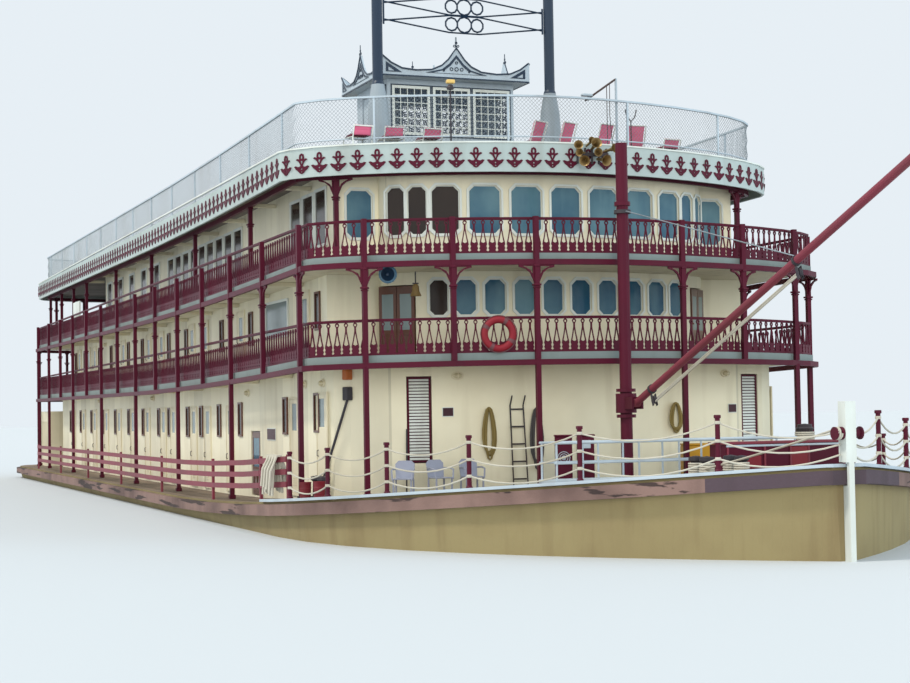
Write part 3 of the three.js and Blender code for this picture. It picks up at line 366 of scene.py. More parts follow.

# %% [markdown]
# The ship is painted steel and timber that has stood in the weather. One node group gives any colour
# the same ageing: broad patches of fading, thin streaks that run down from edges, and fine grain
# that also roughens the surface. On the glass, the same patches and streaks in a paler colour are
# painted reflection. Each material keeps its own colours and its own shader.

# %% Weathering, and painted reflection on glass, as a node group shared by all paints
def feed(tree, node, sockets):
    """Sets inputs to values, or links them to the outputs that are given."""
    for name, value in sockets.items():
        if isinstance(value, bpy.types.NodeSocket):
            tree.links.new(value, node.inputs[name])
        else:
            node.inputs[name].default_value = value


def add(tree, kind, sockets, **settings):
    """Adds a node, and returns its outputs."""
    node = tree.nodes.new("ShaderNode" + kind)
    for name, value in settings.items():
        setattr(node, name, value)
    feed(tree, node, sockets)
    return node.outputs


def new_group(name, inputs, outputs):
    tree = bpy.data.node_groups.new(name, "ShaderNodeTree")
    for label, (kind, value) in inputs.items():
        made = tree.interface.new_socket(name=label, in_out="INPUT", socket_type="NodeSocket" + kind)
        made.default_value = value
    for label, kind in outputs.items():
        tree.interface.new_socket(name=label, in_out="OUTPUT", socket_type="NodeSocket" + kind)
    place_of = add(tree, "TexCoord", {})["Object"]
    return tree, tree.nodes.new("NodeGroupInput").outputs, tree.nodes.new("NodeGroupOutput"), place_of


def maths(tree, way, a, b):
    return add(tree, "Math", {0: a, 1: b}, operation=way)[0]


def mixed(tree, share, a, b):
    return add(tree, "Mix", {"Factor": share, "A": a, "B": b}, data_type="RGBA")["Result"]


def ranged(tree, value, low, high, bottom, top):
    limits = {"From Min": low, "From Max": high, "To Min": bottom, "To Max": top}
    return add(tree, "MapRange", {"Value": value, **limits})["Result"]


def weathering_group():
    tree, given, made, place_of = new_group(
        "weathering_and_reflection", {"Colour": ("Color", (0.8, 0.8, 0.8, 1)), "Dirt and reflection": ("Color", (0.2, 0.15, 0.1, 1)),
                       "Streaks": ("Float", 0.3), "Patches": ("Float", 0.2),
                       "Roughness": ("Float", 0.5), "Gouges": ("Float", 0.0)},
        {"Colour": "Color", "Roughness": "Float", "Height": "Float"})

    def noise(scale, detail, stretch=(1, 1, 1)):
        stretched = add(tree, "Mapping", {"Vector": place_of, "Scale": stretch})["Vector"]
        return add(tree, "TexNoise", {"Vector": stretched, "Scale": scale, "Detail": detail})["Fac"]

    def share(texture, low, high, strength):
        return maths(tree, "MULTIPLY", ranged(tree, texture, low, high, 0.0, 1.0), given[strength])

    bare_wood = (0.02, 0.012, 0.012, 1)
    faded_and_reflecting = mixed(tree, share(noise(0.9, 6), 0.42, 0.68, "Patches"), given["Colour"], given["Dirt and reflection"])
    streaks = share(noise(3.2, 5, (1, 1, 0.12)), 0.52, 0.74, "Streaks")
    gouges = share(noise(2.6, 7, (0.3, 1, 4)), 0.565, 0.59, "Gouges")
    grain = noise(38, 3)
    feed(tree, made, {
        "Colour": mixed(tree, gouges, mixed(tree, streaks, faded_and_reflecting, given["Dirt and reflection"]), bare_wood),
        "Roughness": maths(tree, "ADD", given["Roughness"], ranged(tree, grain, 0, 1, -0.08, 0.12)),
        "Height": grain})
    return tree


WEATHERING_AND_REFLECTION = weathering_group()


# %% Seams, as a node group: even dark lines along one direction of the ship
def seams_group():
    tree, given, made, place_of = new_group(
        "seams", {"Colour": ("Color", (0.8, 0.8, 0.8, 1)), "Seam": ("Color", (0.1, 0.1, 0.1, 1)),
                  "Along": ("Vector", (1, 0, 0)), "Pitch": ("Float", 0.1), "Width": ("Float", 0.06),
                  "Strength": ("Float", 0.6)}, {"Colour": "Color", "Height": "Float"})
    across = add(tree, "VectorMath", {0: place_of, 1: given["Along"]}, operation="DOT_PRODUCT")["Value"]
    board = maths(tree, "DIVIDE", across, given["Pitch"])
    on_seam = maths(tree, "LESS_THAN", maths(tree, "FRACT", board, 0), given["Width"])
    number = maths(tree, "FLOOR", board, 0)
    own_shade = add(tree, "TexWhiteNoise", {"W": number}, noise_dimensions="1D")["Value"]
    shade = ranged(tree, own_shade, 0, 1, 0.88, 1.08)
    toned = add(tree, "VectorMath", {0: given["Colour"], "Scale": shade}, operation="SCALE")[0]
    strength = maths(tree, "MULTIPLY", on_seam, given["Strength"])
    feed(tree, made, {"Colour": mixed(tree, strength, toned, given["Seam"]),
                      "Height": maths(tree, "SUBTRACT", 1, on_seam)})
    return tree


SEAMS = seams_group()


# %% Materials
def linear(red, green, blue):
    """A colour as a picture shows it, 0 to 255, as the shader needs it."""
    return (*[((c / 255 + 0.055) / 1.055) ** 2.4 if c > 10 else c / 255 / 12.92
              for c in (red, green, blue)], 1)


def paint(name, colour, dirt_and_reflection, streaks, patches, rough=0.5, metal=0.0, coat=0.0, bump=0.15, seams=None,
          transmission=0.0, shine=0.5, gouges=0.0):
    """A weathered surface, whose second colour on glass is painted reflection. seams is (direction, pitch,
    width, strength), in model metres.
    """
    made = bpy.data.materials.new(name)
    made.use_nodes = True
    tree = made.node_tree
    shader = tree.nodes["Principled BSDF"]
    aged = add(tree, "Group", {"Colour": linear(*colour), "Dirt and reflection": linear(*dirt_and_reflection), "Streaks": streaks,
                               "Patches": patches, "Roughness": rough, "Gouges": gouges},
               node_tree=WEATHERING_AND_REFLECTION)
    colour_out, height = aged["Colour"], aged["Height"]
    if seams:
        lines = dict(zip(("Along", "Pitch", "Width", "Strength"), seams))
        seam = linear(*[c * 0.45 for c in colour])
        boards = add(tree, "Group", {"Colour": colour_out, "Seam": seam, **lines}, node_tree=SEAMS)
        colour_out, height = boards["Colour"], boards["Height"]
    if bump:
        raised = add(tree, "Bump", {"Strength": bump, "Distance": 0.004, "Height": height})
        feed(tree, shader, {"Normal": raised["Normal"]})
    feed(tree, shader, {"Base Color": colour_out, "Roughness": aged["Roughness"], "Metallic": metal,
                        "Coat Weight": coat, "Transmission Weight": transmission,
                        "Specular IOR Level": shine})
    return made


FORE_AND_AFT, ATHWART = (1, 0, 0), (0, 1, 0)
CREAM = paint("cream_paint", (226, 218, 190), (150, 132, 96), 0.35, 0.25)
CREAM_WALL = paint("cream_panels", (232, 226, 200), (168, 152, 118), 0.3, 0.2,
                   seams=(FORE_AND_AFT, 0.61, 0.012, 0.3))
WHITE = paint("white_paint", (218, 224, 218), (142, 138, 126), 0.35, 0.25)
GREY_WHITE = paint("grey_white_paint", (180, 194, 204), (128, 132, 132), 0.3, 0.3)
MAROON = paint("maroon_paint", (82, 20, 40), (52, 26, 36), 0.3, 0.3, rough=0.45, shine=0.2)
ROSE = paint("faded_maroon_paint", (128, 54, 68), (92, 58, 58), 0.3, 0.4, rough=0.5, shine=0.3)
RED = paint("red_paint", (122, 26, 40), (84, 40, 36), 0.35, 0.3, rough=0.45)
NAVY = paint("navy_paint", (20, 42, 64), (50, 56, 62), 0.3, 0.2, rough=0.4, coat=0.2)
SILVER = paint("silver_paint", (146, 158, 166), (92, 94, 92), 0.4, 0.4, rough=0.45, metal=0.4)
HULL = paint("hull_paint", (144, 131, 93), (108, 88, 60), 0.5, 0.4,
             seams=(FORE_AND_AFT, 1.2, 0.006, 0.35), bump=0.25)
EDGE = paint("deck_edge_paint", (124, 136, 134), (96, 98, 94), 0.3, 0.3)
# The fascia is white, painted grey here: painted shade over the whole board.
FASCIA_PAINTED_SHADE = paint("fascia_paint_painted_shade", (172, 186, 184), (132, 130, 120), 0.3, 0.2)
# Dark purple-brown for the strake's bow end: painted shade.
STRAKE_BOW_SHADE = paint("strake_bow_painted_shade", (80, 66, 74), (56, 46, 48), 0.3, 0.8, rough=0.8, bump=0.6)
TIMBER = paint("strake_timber", (134, 108, 100), (66, 48, 46), 0.3, 0.8, rough=0.85, bump=0.6,
               gouges=0.85)
DECKING = paint("deck_boards", (128, 112, 96), (78, 66, 56), 0.2, 0.7, rough=0.85,
                seams=(ATHWART, 0.075, 0.07, 0.6), bump=0.4)
ROOFING = paint("roof_cover", (132, 126, 118), (92, 86, 80), 0.1, 0.7, rough=0.9,
                seams=(FORE_AND_AFT, 0.6, 0.012, 0.4))
WOOD = paint("door_wood", (94, 54, 34), (54, 34, 24), 0.4, 0.3, rough=0.4, coat=0.3)
IRON = paint("dark_iron", (62, 60, 66), (84, 60, 48), 0.3, 0.5, rough=0.55, metal=0.3)
BRASS = paint("lamp_brass", (168, 142, 96), (92, 76, 50), 0.3, 0.4, rough=0.45, metal=0.8)
# The paler patches and streaks of this blue glass, in its second colour, are painted reflection.
GLASS_PAINTED_REFLECTION = paint("dark_glass_painted_reflection", (44, 88, 114), (112, 148, 156), 0.5, 0.7, rough=0.06, bump=0,
              transmission=0.1, shine=0.3)
BROWN_GLASS = paint("brown_glass", (46, 38, 34), (66, 54, 44), 0.3, 0.4, rough=0.1, bump=0, shine=0.3)
ROPE = paint("white_rope", (192, 188, 174), (140, 130, 110), 0.3, 0.4, rough=0.9, bump=0.5)
print(len(bpy.data.materials), "materials")

# %% [markdown]
# The CAD nodes keep their shapes and take these paints. Some need two: a deck has boards on top and
# paint on its edges, a strake is worn pale aft and darker at the bow as painted shade, and a funnel
# has a silver foot. A mask from the surface's direction or place tells the two apart.


# %% Paints for the CAD nodes
def split_paint(name, over, under, measure, axis, limit):
    """over where the Normal or the Object coordinate on that axis is more than limit, else under."""
    made = over.copy()
    made.name = name
    tree = made.node_tree
    base = tree.nodes["Principled BSDF"].inputs["Base Color"]
    split = add(tree, "SeparateXYZ", {0: add(tree, "TexCoord", {})[measure]})[axis]
    source = next(node for node in under.node_tree.nodes if getattr(node, "node_tree", None) == WEATHERING_AND_REFLECTION)
    aged = add(tree, "Group", {own.name: own.default_value for own in source.inputs}, node_tree=WEATHERING_AND_REFLECTION)
    is_over = maths(tree, "GREATER_THAN", split, limit)
    over_colour = base.links[0].from_socket
    tree.links.new(mixed(tree, is_over, aged["Colour"], over_colour), base)
    return made


DECK = split_paint("boards_and_edges", DECKING, EDGE, "Normal", "Z", 0.6)
DECK = split_paint("deck_and_soffit", DECK, CREAM, "Normal", "Z", -0.6)
HULL_AND_DECK = split_paint("hull_and_fore_deck", DECKING, HULL, "Normal", "Z", 0.6)
# Forward of the mark the strake takes the painted shade; aft of it, its weathered timber.
STRAKE = split_paint("strake_fore_and_aft", STRAKE_BOW_SHADE, TIMBER, "Object", "X", 16.0)
FUNNEL = split_paint("funnel_and_foot", NAVY, SILVER, "Object", "Z", 6.95)
finishes = {"hull": HULL_AND_DECK, "rubbing_strake": STRAKE, "gunwale_and_stanchions": GREY_WHITE,
            "stem_post": WHITE, "plank_rail": ROSE, "house": CREAM_WALL, "saloon_bay": CREAM_WALL,
            "lounge_bay": CREAM_WALL, "deck_2": DECK, "deck_3": DECK, "roof_deck": ROOFING,
            "roof_fascia": FASCIA_PAINTED_SHADE, "veranda_frame": MAROON, "railing": MAROON, "top_rail": GREY_WHITE,
            "screen": WHITE, "saloon_door": WOOD, "entrance_door": WOOD, "pilot_door": GREY_WHITE,
            "louvre_door": CREAM, "mast": MAROON, "boom_swivel": MAROON, "boom": ROSE,
            "landing_stage": GREY_WHITE, "capstan": IRON, "bollard": IRON, "deck_chest": MAROON,
            "chest_lid": ROSE, "pilot_house": GREY_WHITE, "pilot_roof": GREY_WHITE, "funnel_truss": NAVY,
            "funnel": FUNNEL, "lamp_cluster": BRASS, "stern_wheel": RED, "wheel_bearing": IRON,
            "wheel_casing": CREAM, "rudder": IRON, "engine_block": IRON}
for name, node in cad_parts.items():
    start = max((key for key in finishes if name.startswith(key)), key=len)
    for own in node.material_slots:
        own.material = finishes[start]
print(len(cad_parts), "CAD nodes painted")

# %% [markdown]
# Each veranda is fenced with flat lace balusters: a ring at the top, a neck, two legs round a long
# teardrop, and a notched foot that all but touches its neighbour. A foundry casts one and repeats it.
# One is cut as flat fretwork here and copied along the deck's edge, and the rails are swept along
# the same line.

# %% Lace railings of the two upper decks
LACE_PITCH = 0.23
RAIL_TOP = 0.9


def both_sides(half_outline):
    """An outline from its right half, listed from the bottom to the top."""
    return half_outline + [(-across, up) for across, up in reversed(half_outline) if across]


def oval(middle, wide, high, sides=6):
    turns = [(index + 0.5) / sides * math.tau for index in range(sides)]
    return [(middle[0] + wide * math.cos(t), middle[1] + high * math.sin(t)) for t in turns]


def ring(radius, middle=(0, 0), sides=8):
    return oval(middle, radius, radius, sides)


def strip(points, width):
    """Outline of a flat bar of even width along points of (across, up)."""
    left, right = [], []
    for index, (across, up) in enumerate(points):
        before, after = points[max(0, index - 1)], points[min(len(points) - 1, index + 1)]
        way = Vector((after[0] - before[0], after[1] - before[1])).normalized() * width / 2
        left.append((across - way.y, up + way.x))
        right.append((across + way.y, up - way.x))
    return left + right[::-1]


def baluster():
    foot = [(0.115, 0.0), (0.115, 0.05), (0.075, 0.08), (0.1, 0.13), (0.078, 0.18), (0.098, 0.23)]
    neck = [(0.055, 0.42), (0.022, 0.62), (0.022, 0.71), (0.055, 0.77), (0.04, 0.815), (0, 0.84)]
    teardrop = [(0, 0.58), (-0.03, 0.42), (-0.055, 0.29), (0, 0.26), (0.055, 0.29), (0.03, 0.42)]
    return fretwork([both_sides(foot + neck), teardrop, oval((0, 0.77), 0.03, 0.03)], 0.03)


lace = baluster()
rail_line = inset(DECK_PLAN, 0.18)
top_bar = [(-0.035, RAIL_TOP - 0.05), (0.035, RAIL_TOP - 0.05), (0.04, RAIL_TOP), (-0.04, RAIL_TOP)]
under_bar = [(-0.015, 0.83), (0.015, 0.83), (0.015, 0.85), (-0.015, 0.85)]
foot_bar = [(-0.022, 0.004), (0.022, 0.004), (0.022, 0.05), (-0.022, 0.05)]
for deck, level in ((2, FLOOR_2), (3, FLOOR_3)):
    floor = upper(level)
    rails = [(swept(rail_line, floor, bar), None) for bar in (top_bar, under_bar, foot_bar)]
    piece(f"lace_railing_{deck}", [(lace, along(rail_line, LACE_PITCH, floor))] + rails, MAROON,
          replaces=[f"railing_{deck}"])

# %% [markdown]
# The eaves carry a deep painted fascia with a row of cast ornaments, each an oval ring over a cup of
# two leaves, on a wide anchor-shaped foot with two round holes. They are thin castings screwed to
# the board, so each is flat fretwork that stands a little proud of it.

# %% Fascia ornaments
MOTIF_PITCH = 0.51
MOTIF_FOOT = 9.0


def ornament():
    anchor = [(0, 0.0), (0.055, 0.02), (0.1, 0.07), (0.17, 0.12), (0.225, 0.2), (0.17, 0.215), (0.12, 0.19),
              (0.075, 0.19), (0.03, 0.215)]
    cup = [(0.06, 0.28), (0.09, 0.33), (0.17, 0.375), (0.13, 0.405), (0.07, 0.385)]
    head = [(0.075, 0.44), (0.058, 0.51), (0, 0.54)]
    inside = [(0, 0.24), (-0.032, 0.34), (0.032, 0.34)]
    holes = [oval((0, 0.13), 0.022, 0.022), oval((0, 0.055), 0.018, 0.018), oval((0, 0.44), 0.028, 0.05)]
    return fretwork([both_sides(anchor + cup + head), inside, *holes], 0.02)


eaves = along(ROOF_PLAN, MOTIF_PITCH, upper(MOTIF_FOOT))
outward = shift(0, 0.012, 0)
piece("fascia_ornaments", [(ornament(), [spot @ outward for spot in eaves])], MAROON)
capping = [(-0.02, 0.0), (0.03, 0.0), (0.03, 0.04), (-0.02, 0.04)]
piece("fascia_capping", [(swept(ROOF_PLAN, upper(FASCIA_TOP - 0.03), capping), None)], WHITE)

# %% [markdown]
# A curved bracket on each side of a post's head stiffens the joint with the beam above. It is a
# flat casting, pierced by one opening.

# %% Brackets at the heads of the veranda posts
BRACKET = 0.46


def bracket():
    strut = [(0.06, -BRACKET), (0.1, -0.36), (0.17, -0.2), (0.29, -0.1), (BRACKET, -0.055)]
    opening = [(0.1, -0.035), (0.1, -0.24), (0.16, -0.14), (0.27, -0.07), (0.36, -0.035)]
    return fretwork([strut + [(BRACKET, 0.0), (0.06, 0.0)], opening], 0.05)


def posts(plan, side_stations, fronts, sterns):
    half = max(h for _, h in plan)
    bow, stern = plan[:9], plan[9:]
    places = []
    for side in SIDES:
        places += [(aft, side * half, side_facing(side)) for aft in side_stations]
        for y in fronts:
            aft, slope = on_plan(bow, y)
            places.append((aft, side * y, side * slope))
        for y in sterns:
            afts = [aft for aft, _ in reversed(stern)]
            halves = [own for _, own in reversed(stern)]
            places.append((float(np.interp(y, halves, afts)), side * y, math.pi - side * y / half * 0.6))
    return places


FRONTS = [2.05, 4.1, 6.15]
STERNS = [7.15, 5.6, 3.4, 1.1]
sides = SIDE_POSTS[:14]
main_sides = [aft for index, aft in enumerate(sides) if index % 2 == 0 or index > 11]
roof_sides = [aft for index, aft in enumerate(sides) if index > 9 or (index > 1 and index % 2 == 0)]
frames = {1: (posts(DECK_PLAN, main_sides, [2.05, 6.15], [7.15]), BEAM_2),
          2: (posts(DECK_PLAN, sides, FRONTS, STERNS), BEAM_3),
          3: (posts(inset(ROOF_PLAN, 0.5), roof_sides, [6.0], [6.3, 4.8, 3.0, 1.0]), FASCIA)}
pair = joined(bracket(), shifted(bracket(), turn=math.pi))
cap = joined(block((0.2, 0.2, 0.05), at=(0, 0, -0.5), bevel=0.012),
             block((0.17, 0.17, 0.04), at=(0, 0, -0.56), bevel=0.01),
             block((0.16, 0.16, 0.05), at=(0, 0, -0.025), bevel=0.01))
foot = block((0.18, 0.18, 0.12), at=(0, 0, 0.06), bevel=0.015)
for tier, (spots, beam) in frames.items():
    heads = [place(aft, y, upper(beam)(aft), facing) for aft, y, facing in spots]
    base = main_deck if tier == 1 else upper(BEAM_2 + BEAM_DEPTH if tier == 2 else FLOOR_3)
    feet = [place(aft, y, base(aft), facing) for aft, y, facing in spots]
    fore = [head for head, (aft, _, _) in zip(heads, spots) if aft < sides[1] + 0.1]
    copies = [] if tier == 1 else [(pair, fore), (cap, heads)]
    if tier != 2:
        copies.append((foot, feet))
    piece(f"post_brackets_{tier}", copies, MAROON)

# %% [markdown]
# The bays' windows are raised moulded frames round eight-sided openings, glazed with dark tinted
# panes. Frame and pane follow the bay's curve, each turned to its own wall.

# %% Windows of the two bays
def octagon(width, height, grow=0.0):
    w, h = width / 2 + grow, height / 2 + grow
    c = min(0.14, width * 0.25) + grow * 0.4
    return [(-w + c, -h), (w - c, -h), (w, -h + c), (w, h - c), (w - c, h), (-w + c, h), (-w, h - c),
            (-w, -h + c)]


def window(width, height):
    """The moulded frame and the pane of one opening."""
    outer = fretwork([octagon(width, height, 0.06), octagon(width, height, 0.012)], 0.03, y=0.014,
                     bevel=0.006)
    bead = fretwork([octagon(width, height, 0.015), octagon(width, height, -0.022)], 0.03, y=-0.05)
    pane = fretwork([octagon(width, height, 0.01)], 0.012, y=-0.06)
    return joined(outer, bead), pane


def above(level, rise):
    return lambda aft: upper(level)(aft) + rise


windows_2 = [(y, 0.5 if y > 3.2 else 0.58, 0.95) for y in (0.41, 1.22, 2.03, 2.81, 3.5)]
windows_3 = [(y, 0.5 if y > 3.9 else 0.86 - max(0, y - 2.3) * 0.12, 1.28)
             for y in (0, 1.13, 2.27, 3.3, 4.0, 4.5)]
for deck, openings, level, middle in ((2, windows_2, FLOOR_2, 1.62), (3, windows_3, FLOOR_3, 1.45)):
    trims, panes, dark_panes = [], [], []
    for y, width, height in openings + [(-y, width, height) for y, width, height in openings if y]:
        trim, pane = window(width, height)
        spot = [front(BAY_PLAN, y, above(level, middle))]
        trims.append((trim, spot))
        (dark_panes if y < -2.9 else panes).append((pane, spot))
    if deck == 3:
        trim, pane = window(0.72, 1.28)
        corners = [place(HOUSE_FRONT, side * 5.27, above(FLOOR_3, middle)(HOUSE_FRONT), 0)
                   for side in SIDES]
        trims.append((trim, corners))
        panes.append((pane, corners))
    piece(f"bay_window_frames_{deck}", trims, WHITE)
    piece(f"bay_window_glass_{deck}", panes, GLASS_PAINTED_REFLECTION)
    piece(f"bay_window_dark_glass_{deck}", dark_panes, BROWN_GLASS)

# %% [markdown]
# Along each side the deckhouses are rows of cabins. A cabin shows a plain door with a window in its
# upper half and, beside it, a narrow window in a brown frame. The upper house has tall lounge
# windows between white mullions. Frames and doors are joinery screwed to the panelled wall, so each
# stands a few centimetres proud of it.

# %% Doors and windows along both sides
GREY_GLASS = paint("grey_glass", (124, 140, 140), (96, 110, 112), 0.3, 0.4, rough=0.12, bump=0)


def rectangle(width, height, middle=(0, 0)):
    x, z = middle
    return [(x - width / 2, z - height / 2), (x + width / 2, z - height / 2),
            (x + width / 2, z + height / 2), (x - width / 2, z + height / 2)]


def framed_window(width, height, border=0.05):
    """A frame and its pane, centred on the window."""
    frame_shape = fretwork([rectangle(width + 2 * border, height + 2 * border), rectangle(width, height)],
                           0.05, y=0.025, bevel=0.006)
    pane = block((width + 0.02, 0.012, height + 0.02), at=(0, 0.012, 0))
    return frame_shape, pane


def cabin_door(width=0.8, height=1.95, window_rise=1.42):
    """A door standing on z = 0: its leaf in a thin frame, the window's bead, a pull and low vents."""
    leaf = fretwork([rectangle(width, height, (0, height / 2)), rectangle(0.46, 0.74, (0, window_rise))],
                    0.03, y=0.015, bevel=0.006)
    case = fretwork([rectangle(width + 0.1, height + 0.05, (0, height / 2 + 0.025)),
                     rectangle(width + 0.03, height + 0.015, (0, height / 2 + 0.0075))], 0.045, y=0.02,
                    bevel=0.006)
    vents = [block((0.3, 0.02, 0.025), at=(0, 0.036, 0.3 + 0.06 * row)) for row in range(4)]
    pane = block((0.48, 0.01, 0.76), at=(0, 0.012, window_rise))
    pull = tube([(0.3, 0.03, 1.0), (0.3, 0.075, 1.02), (0.3, 0.075, 1.14), (0.3, 0.03, 1.16)], 0.012, 1)
    return joined(leaf, case, *vents), pane, pull


def on_side(aft, side, half, z):
    return place(aft, side * half, z, side_facing(side))


brown_1 = [14.3, 17.3, 22.3, 25.0, 27.5, 29.5, 32.5, 34.3, 37.2, 40.1, 43.0, 45.9, 48.8, 51.7, 54.6]
doors_1 = [13.84, 16.4, 23.6, 26.6, 28.6, 31.8, 33.5, 36.4, 39.3, 42.2, 45.1, 48.0, 50.9, 53.8]
brown_2 = [15.2, 22.2, 25.9, 31.1, 34.0, 38.9, 41.8, 45.7, 48.6, 52.5, 55.0]
doors_2 = [16.4, 23.4, 28.2, 30.2, 35.3, 37.7, 42.9, 44.6, 49.8, 51.4, 54.0]
lounge = [15.6, 16.8, 18.0] + [24.6 + 1.25 * index for index in range(9)]
lounge += [37.2 + 2.5 * index for index in range(5)]
brown_frame, brown_pane = framed_window(0.36, 0.92)
tall_frame, tall_pane = framed_window(0.95, 1.45, 0.07)
wide_frame, wide_pane = framed_window(2.3, 0.95, 0.06)
door, door_pane, door_pull = cabin_door()
tall_door, tall_door_pane, tall_door_pull = cabin_door(height=2.6, window_rise=2.12)
under_1 = above(BEAM_2, -0.98)
windows_at = [on_side(aft, side, HOUSE_HALF[1], under_1(aft)) for aft in brown_1 for side in SIDES]
windows_at += [on_side(aft, side, HOUSE_HALF[2], above(FLOOR_2, 1.42)(aft)) for aft in brown_2
               for side in SIDES]
piece("cabin_window_frames", [(brown_frame, windows_at)], WOOD)
piece("cabin_window_panes", [(brown_pane, windows_at)], BROWN_GLASS)
doors_at = [on_side(aft, side, HOUSE_HALF[1], main_deck(aft - 0.5) + 0.09) for aft in doors_1
            for side in SIDES]
middle_at = [on_side(aft, side, HOUSE_HALF[2], above(FLOOR_2, 0.06)(aft)) for aft in doors_2
             for side in SIDES]
piece("cabin_doors", [(tall_door, doors_at), (door, middle_at)], CREAM)
piece("cabin_door_panes", [(tall_door_pane, doors_at), (door_pane, middle_at)], GREY_GLASS)
piece("cabin_door_pulls", [(tall_door_pull, doors_at), (door_pull, middle_at)], IRON)
lounge_at = [on_side(aft, side, HOUSE_HALF[3], above(FLOOR_3, 1.5)(aft)) for aft in lounge
             for side in SIDES]
piece("lounge_window_frames", [(tall_frame, lounge_at)], WHITE)
piece("lounge_window_panes", [(tall_pane, lounge_at)], BROWN_GLASS)
saloon_at = [on_side(19.25, side, HOUSE_HALF[2], above(FLOOR_2, 1.5)(19.25)) for side in SIDES]
piece("saloon_side_frames", [(wide_frame, saloon_at)], WHITE)
piece("saloon_side_panes", [(wide_pane, saloon_at)], GREY_GLASS)

# %% [markdown]
# The houses end at the stern in plain bulkheads, each with doors onto its veranda. No photo shows
# them, so they are finished as the sides are, with the same joinery.

# %% Stern bulkheads
stern_doors, stern_windows = [], []
for deck, floor, ys in ((1, lambda aft: main_deck(aft) + 0.09, (-3.6, 3.6)),
                        (2, above(FLOOR_2, 0.06), (-2.2, 2.2)), (3, above(FLOOR_3, 0.06), (-1.2, 1.2))):
    end = HOUSE_END[deck]
    stern_doors += [place(end, y, floor(end), math.pi) for y in ys]
    outer = (-5.2, -4.2, 4.2, 5.2) if deck > 1 else (-5.2, 5.2)
    stern_windows += [place(end, y, floor(end) + 1.4, math.pi) for y in outer]
piece("stern_doors", [(door, stern_doors)], CREAM)
piece("stern_door_panes", [(door_pane, stern_doors)], GREY_GLASS)
piece("stern_door_pulls", [(door_pull, stern_doors)], IRON)
piece("stern_window_frames", [(brown_frame, stern_windows)], WOOD)
piece("stern_window_panes", [(brown_pane, stern_windows)], BROWN_GLASS)

# %% [markdown]
# The pilot house stands behind scroll-work panels in white frames, three to the front and to the
# back. Bars cross in a grid, and a cast scroll fills each square. Above them four crest boards
# carry dark scrolls under their peaks and a dark line along their edges.

# %% Pilot house panels and crests
PILOT_FRONT, PILOT_BACK, PILOT_HALF = 21.1, 24.1, 2.1
PANEL_WIDTH, PANEL_HEIGHT, PANEL_MIDDLE = 1.14, 1.42, 12.34


def lattice(width, height, columns=5, rows=6):
    bars = []
    for column in range(1, columns):
        bars.append(block((0.024, 0.02, height), at=(width * (column / columns - 0.5), 0, 0)))
    for row in range(1, rows):
        bars.append(block((width, 0.02, 0.024), at=(0, 0.002, height * (row / rows - 0.5))))
    case = fretwork([rectangle(width + 0.1, height + 0.1), rectangle(width - 0.06, height - 0.06)], 0.05,
                    bevel=0.006)
    return joined(case, *bars)


def scrolls(width, height, columns=5, rows=6):
    """Dark castings, a ring and four arms in each square of the grid."""
    cell_x, cell_z = width / columns, height / rows
    arm = [strip([(way * cell_x * 0.45, turn * cell_z * 0.45), (way * 0.03, turn * 0.03)], 0.022)
           for way in (-1, 1) for turn in (-1, 1)]
    one = joined(fretwork([ring(cell_x * 0.26), ring(cell_x * 0.15)], 0.012),
                 *[fretwork([a], 0.012, y=0.001) for a in arm])
    cells = [shifted(one, cell_x * (column - (columns - 1) / 2), 0, cell_z * (row - (rows - 1) / 2))
             for column in range(columns) for row in range(rows)]
    return joined(*cells)


border = fretwork([rectangle(PANEL_WIDTH + 0.18, PANEL_HEIGHT + 0.18),
                   rectangle(PANEL_WIDTH + 0.1, PANEL_HEIGHT + 0.1)], 0.04)
panels = []
for y in (-1.34, 0, 1.34):
    panels.append(place(PILOT_FRONT - 0.005, y, DRAUGHT + PANEL_MIDDLE, 0))
    panels.append(place(PILOT_BACK + 0.005, y, DRAUGHT + PANEL_MIDDLE, math.pi))
for side in SIDES:
    panels.append(place(PILOT_FRONT + 0.78, side * (PILOT_HALF + 0.005), DRAUGHT + PANEL_MIDDLE,
                        side_facing(side)))
inner_face = shift(0, -0.04, 0)
piece("pilot_lattice", [(lattice(PANEL_WIDTH, PANEL_HEIGHT), panels)], WHITE)
piece("pilot_scrolls", [(scrolls(PANEL_WIDTH, PANEL_HEIGHT), [spot @ inner_face for spot in panels]),
                        (border, [spot @ shift(0, 0.003, 0) for spot in panels])], NAVY)
CREST = [(0, 0.97), (0.11, 0.6), (0.2, 0.4), (0.34, 0.25), (0.55, 0.21), (0.74, 0.25), (0.88, 0.4),
         (1, 0.62)]


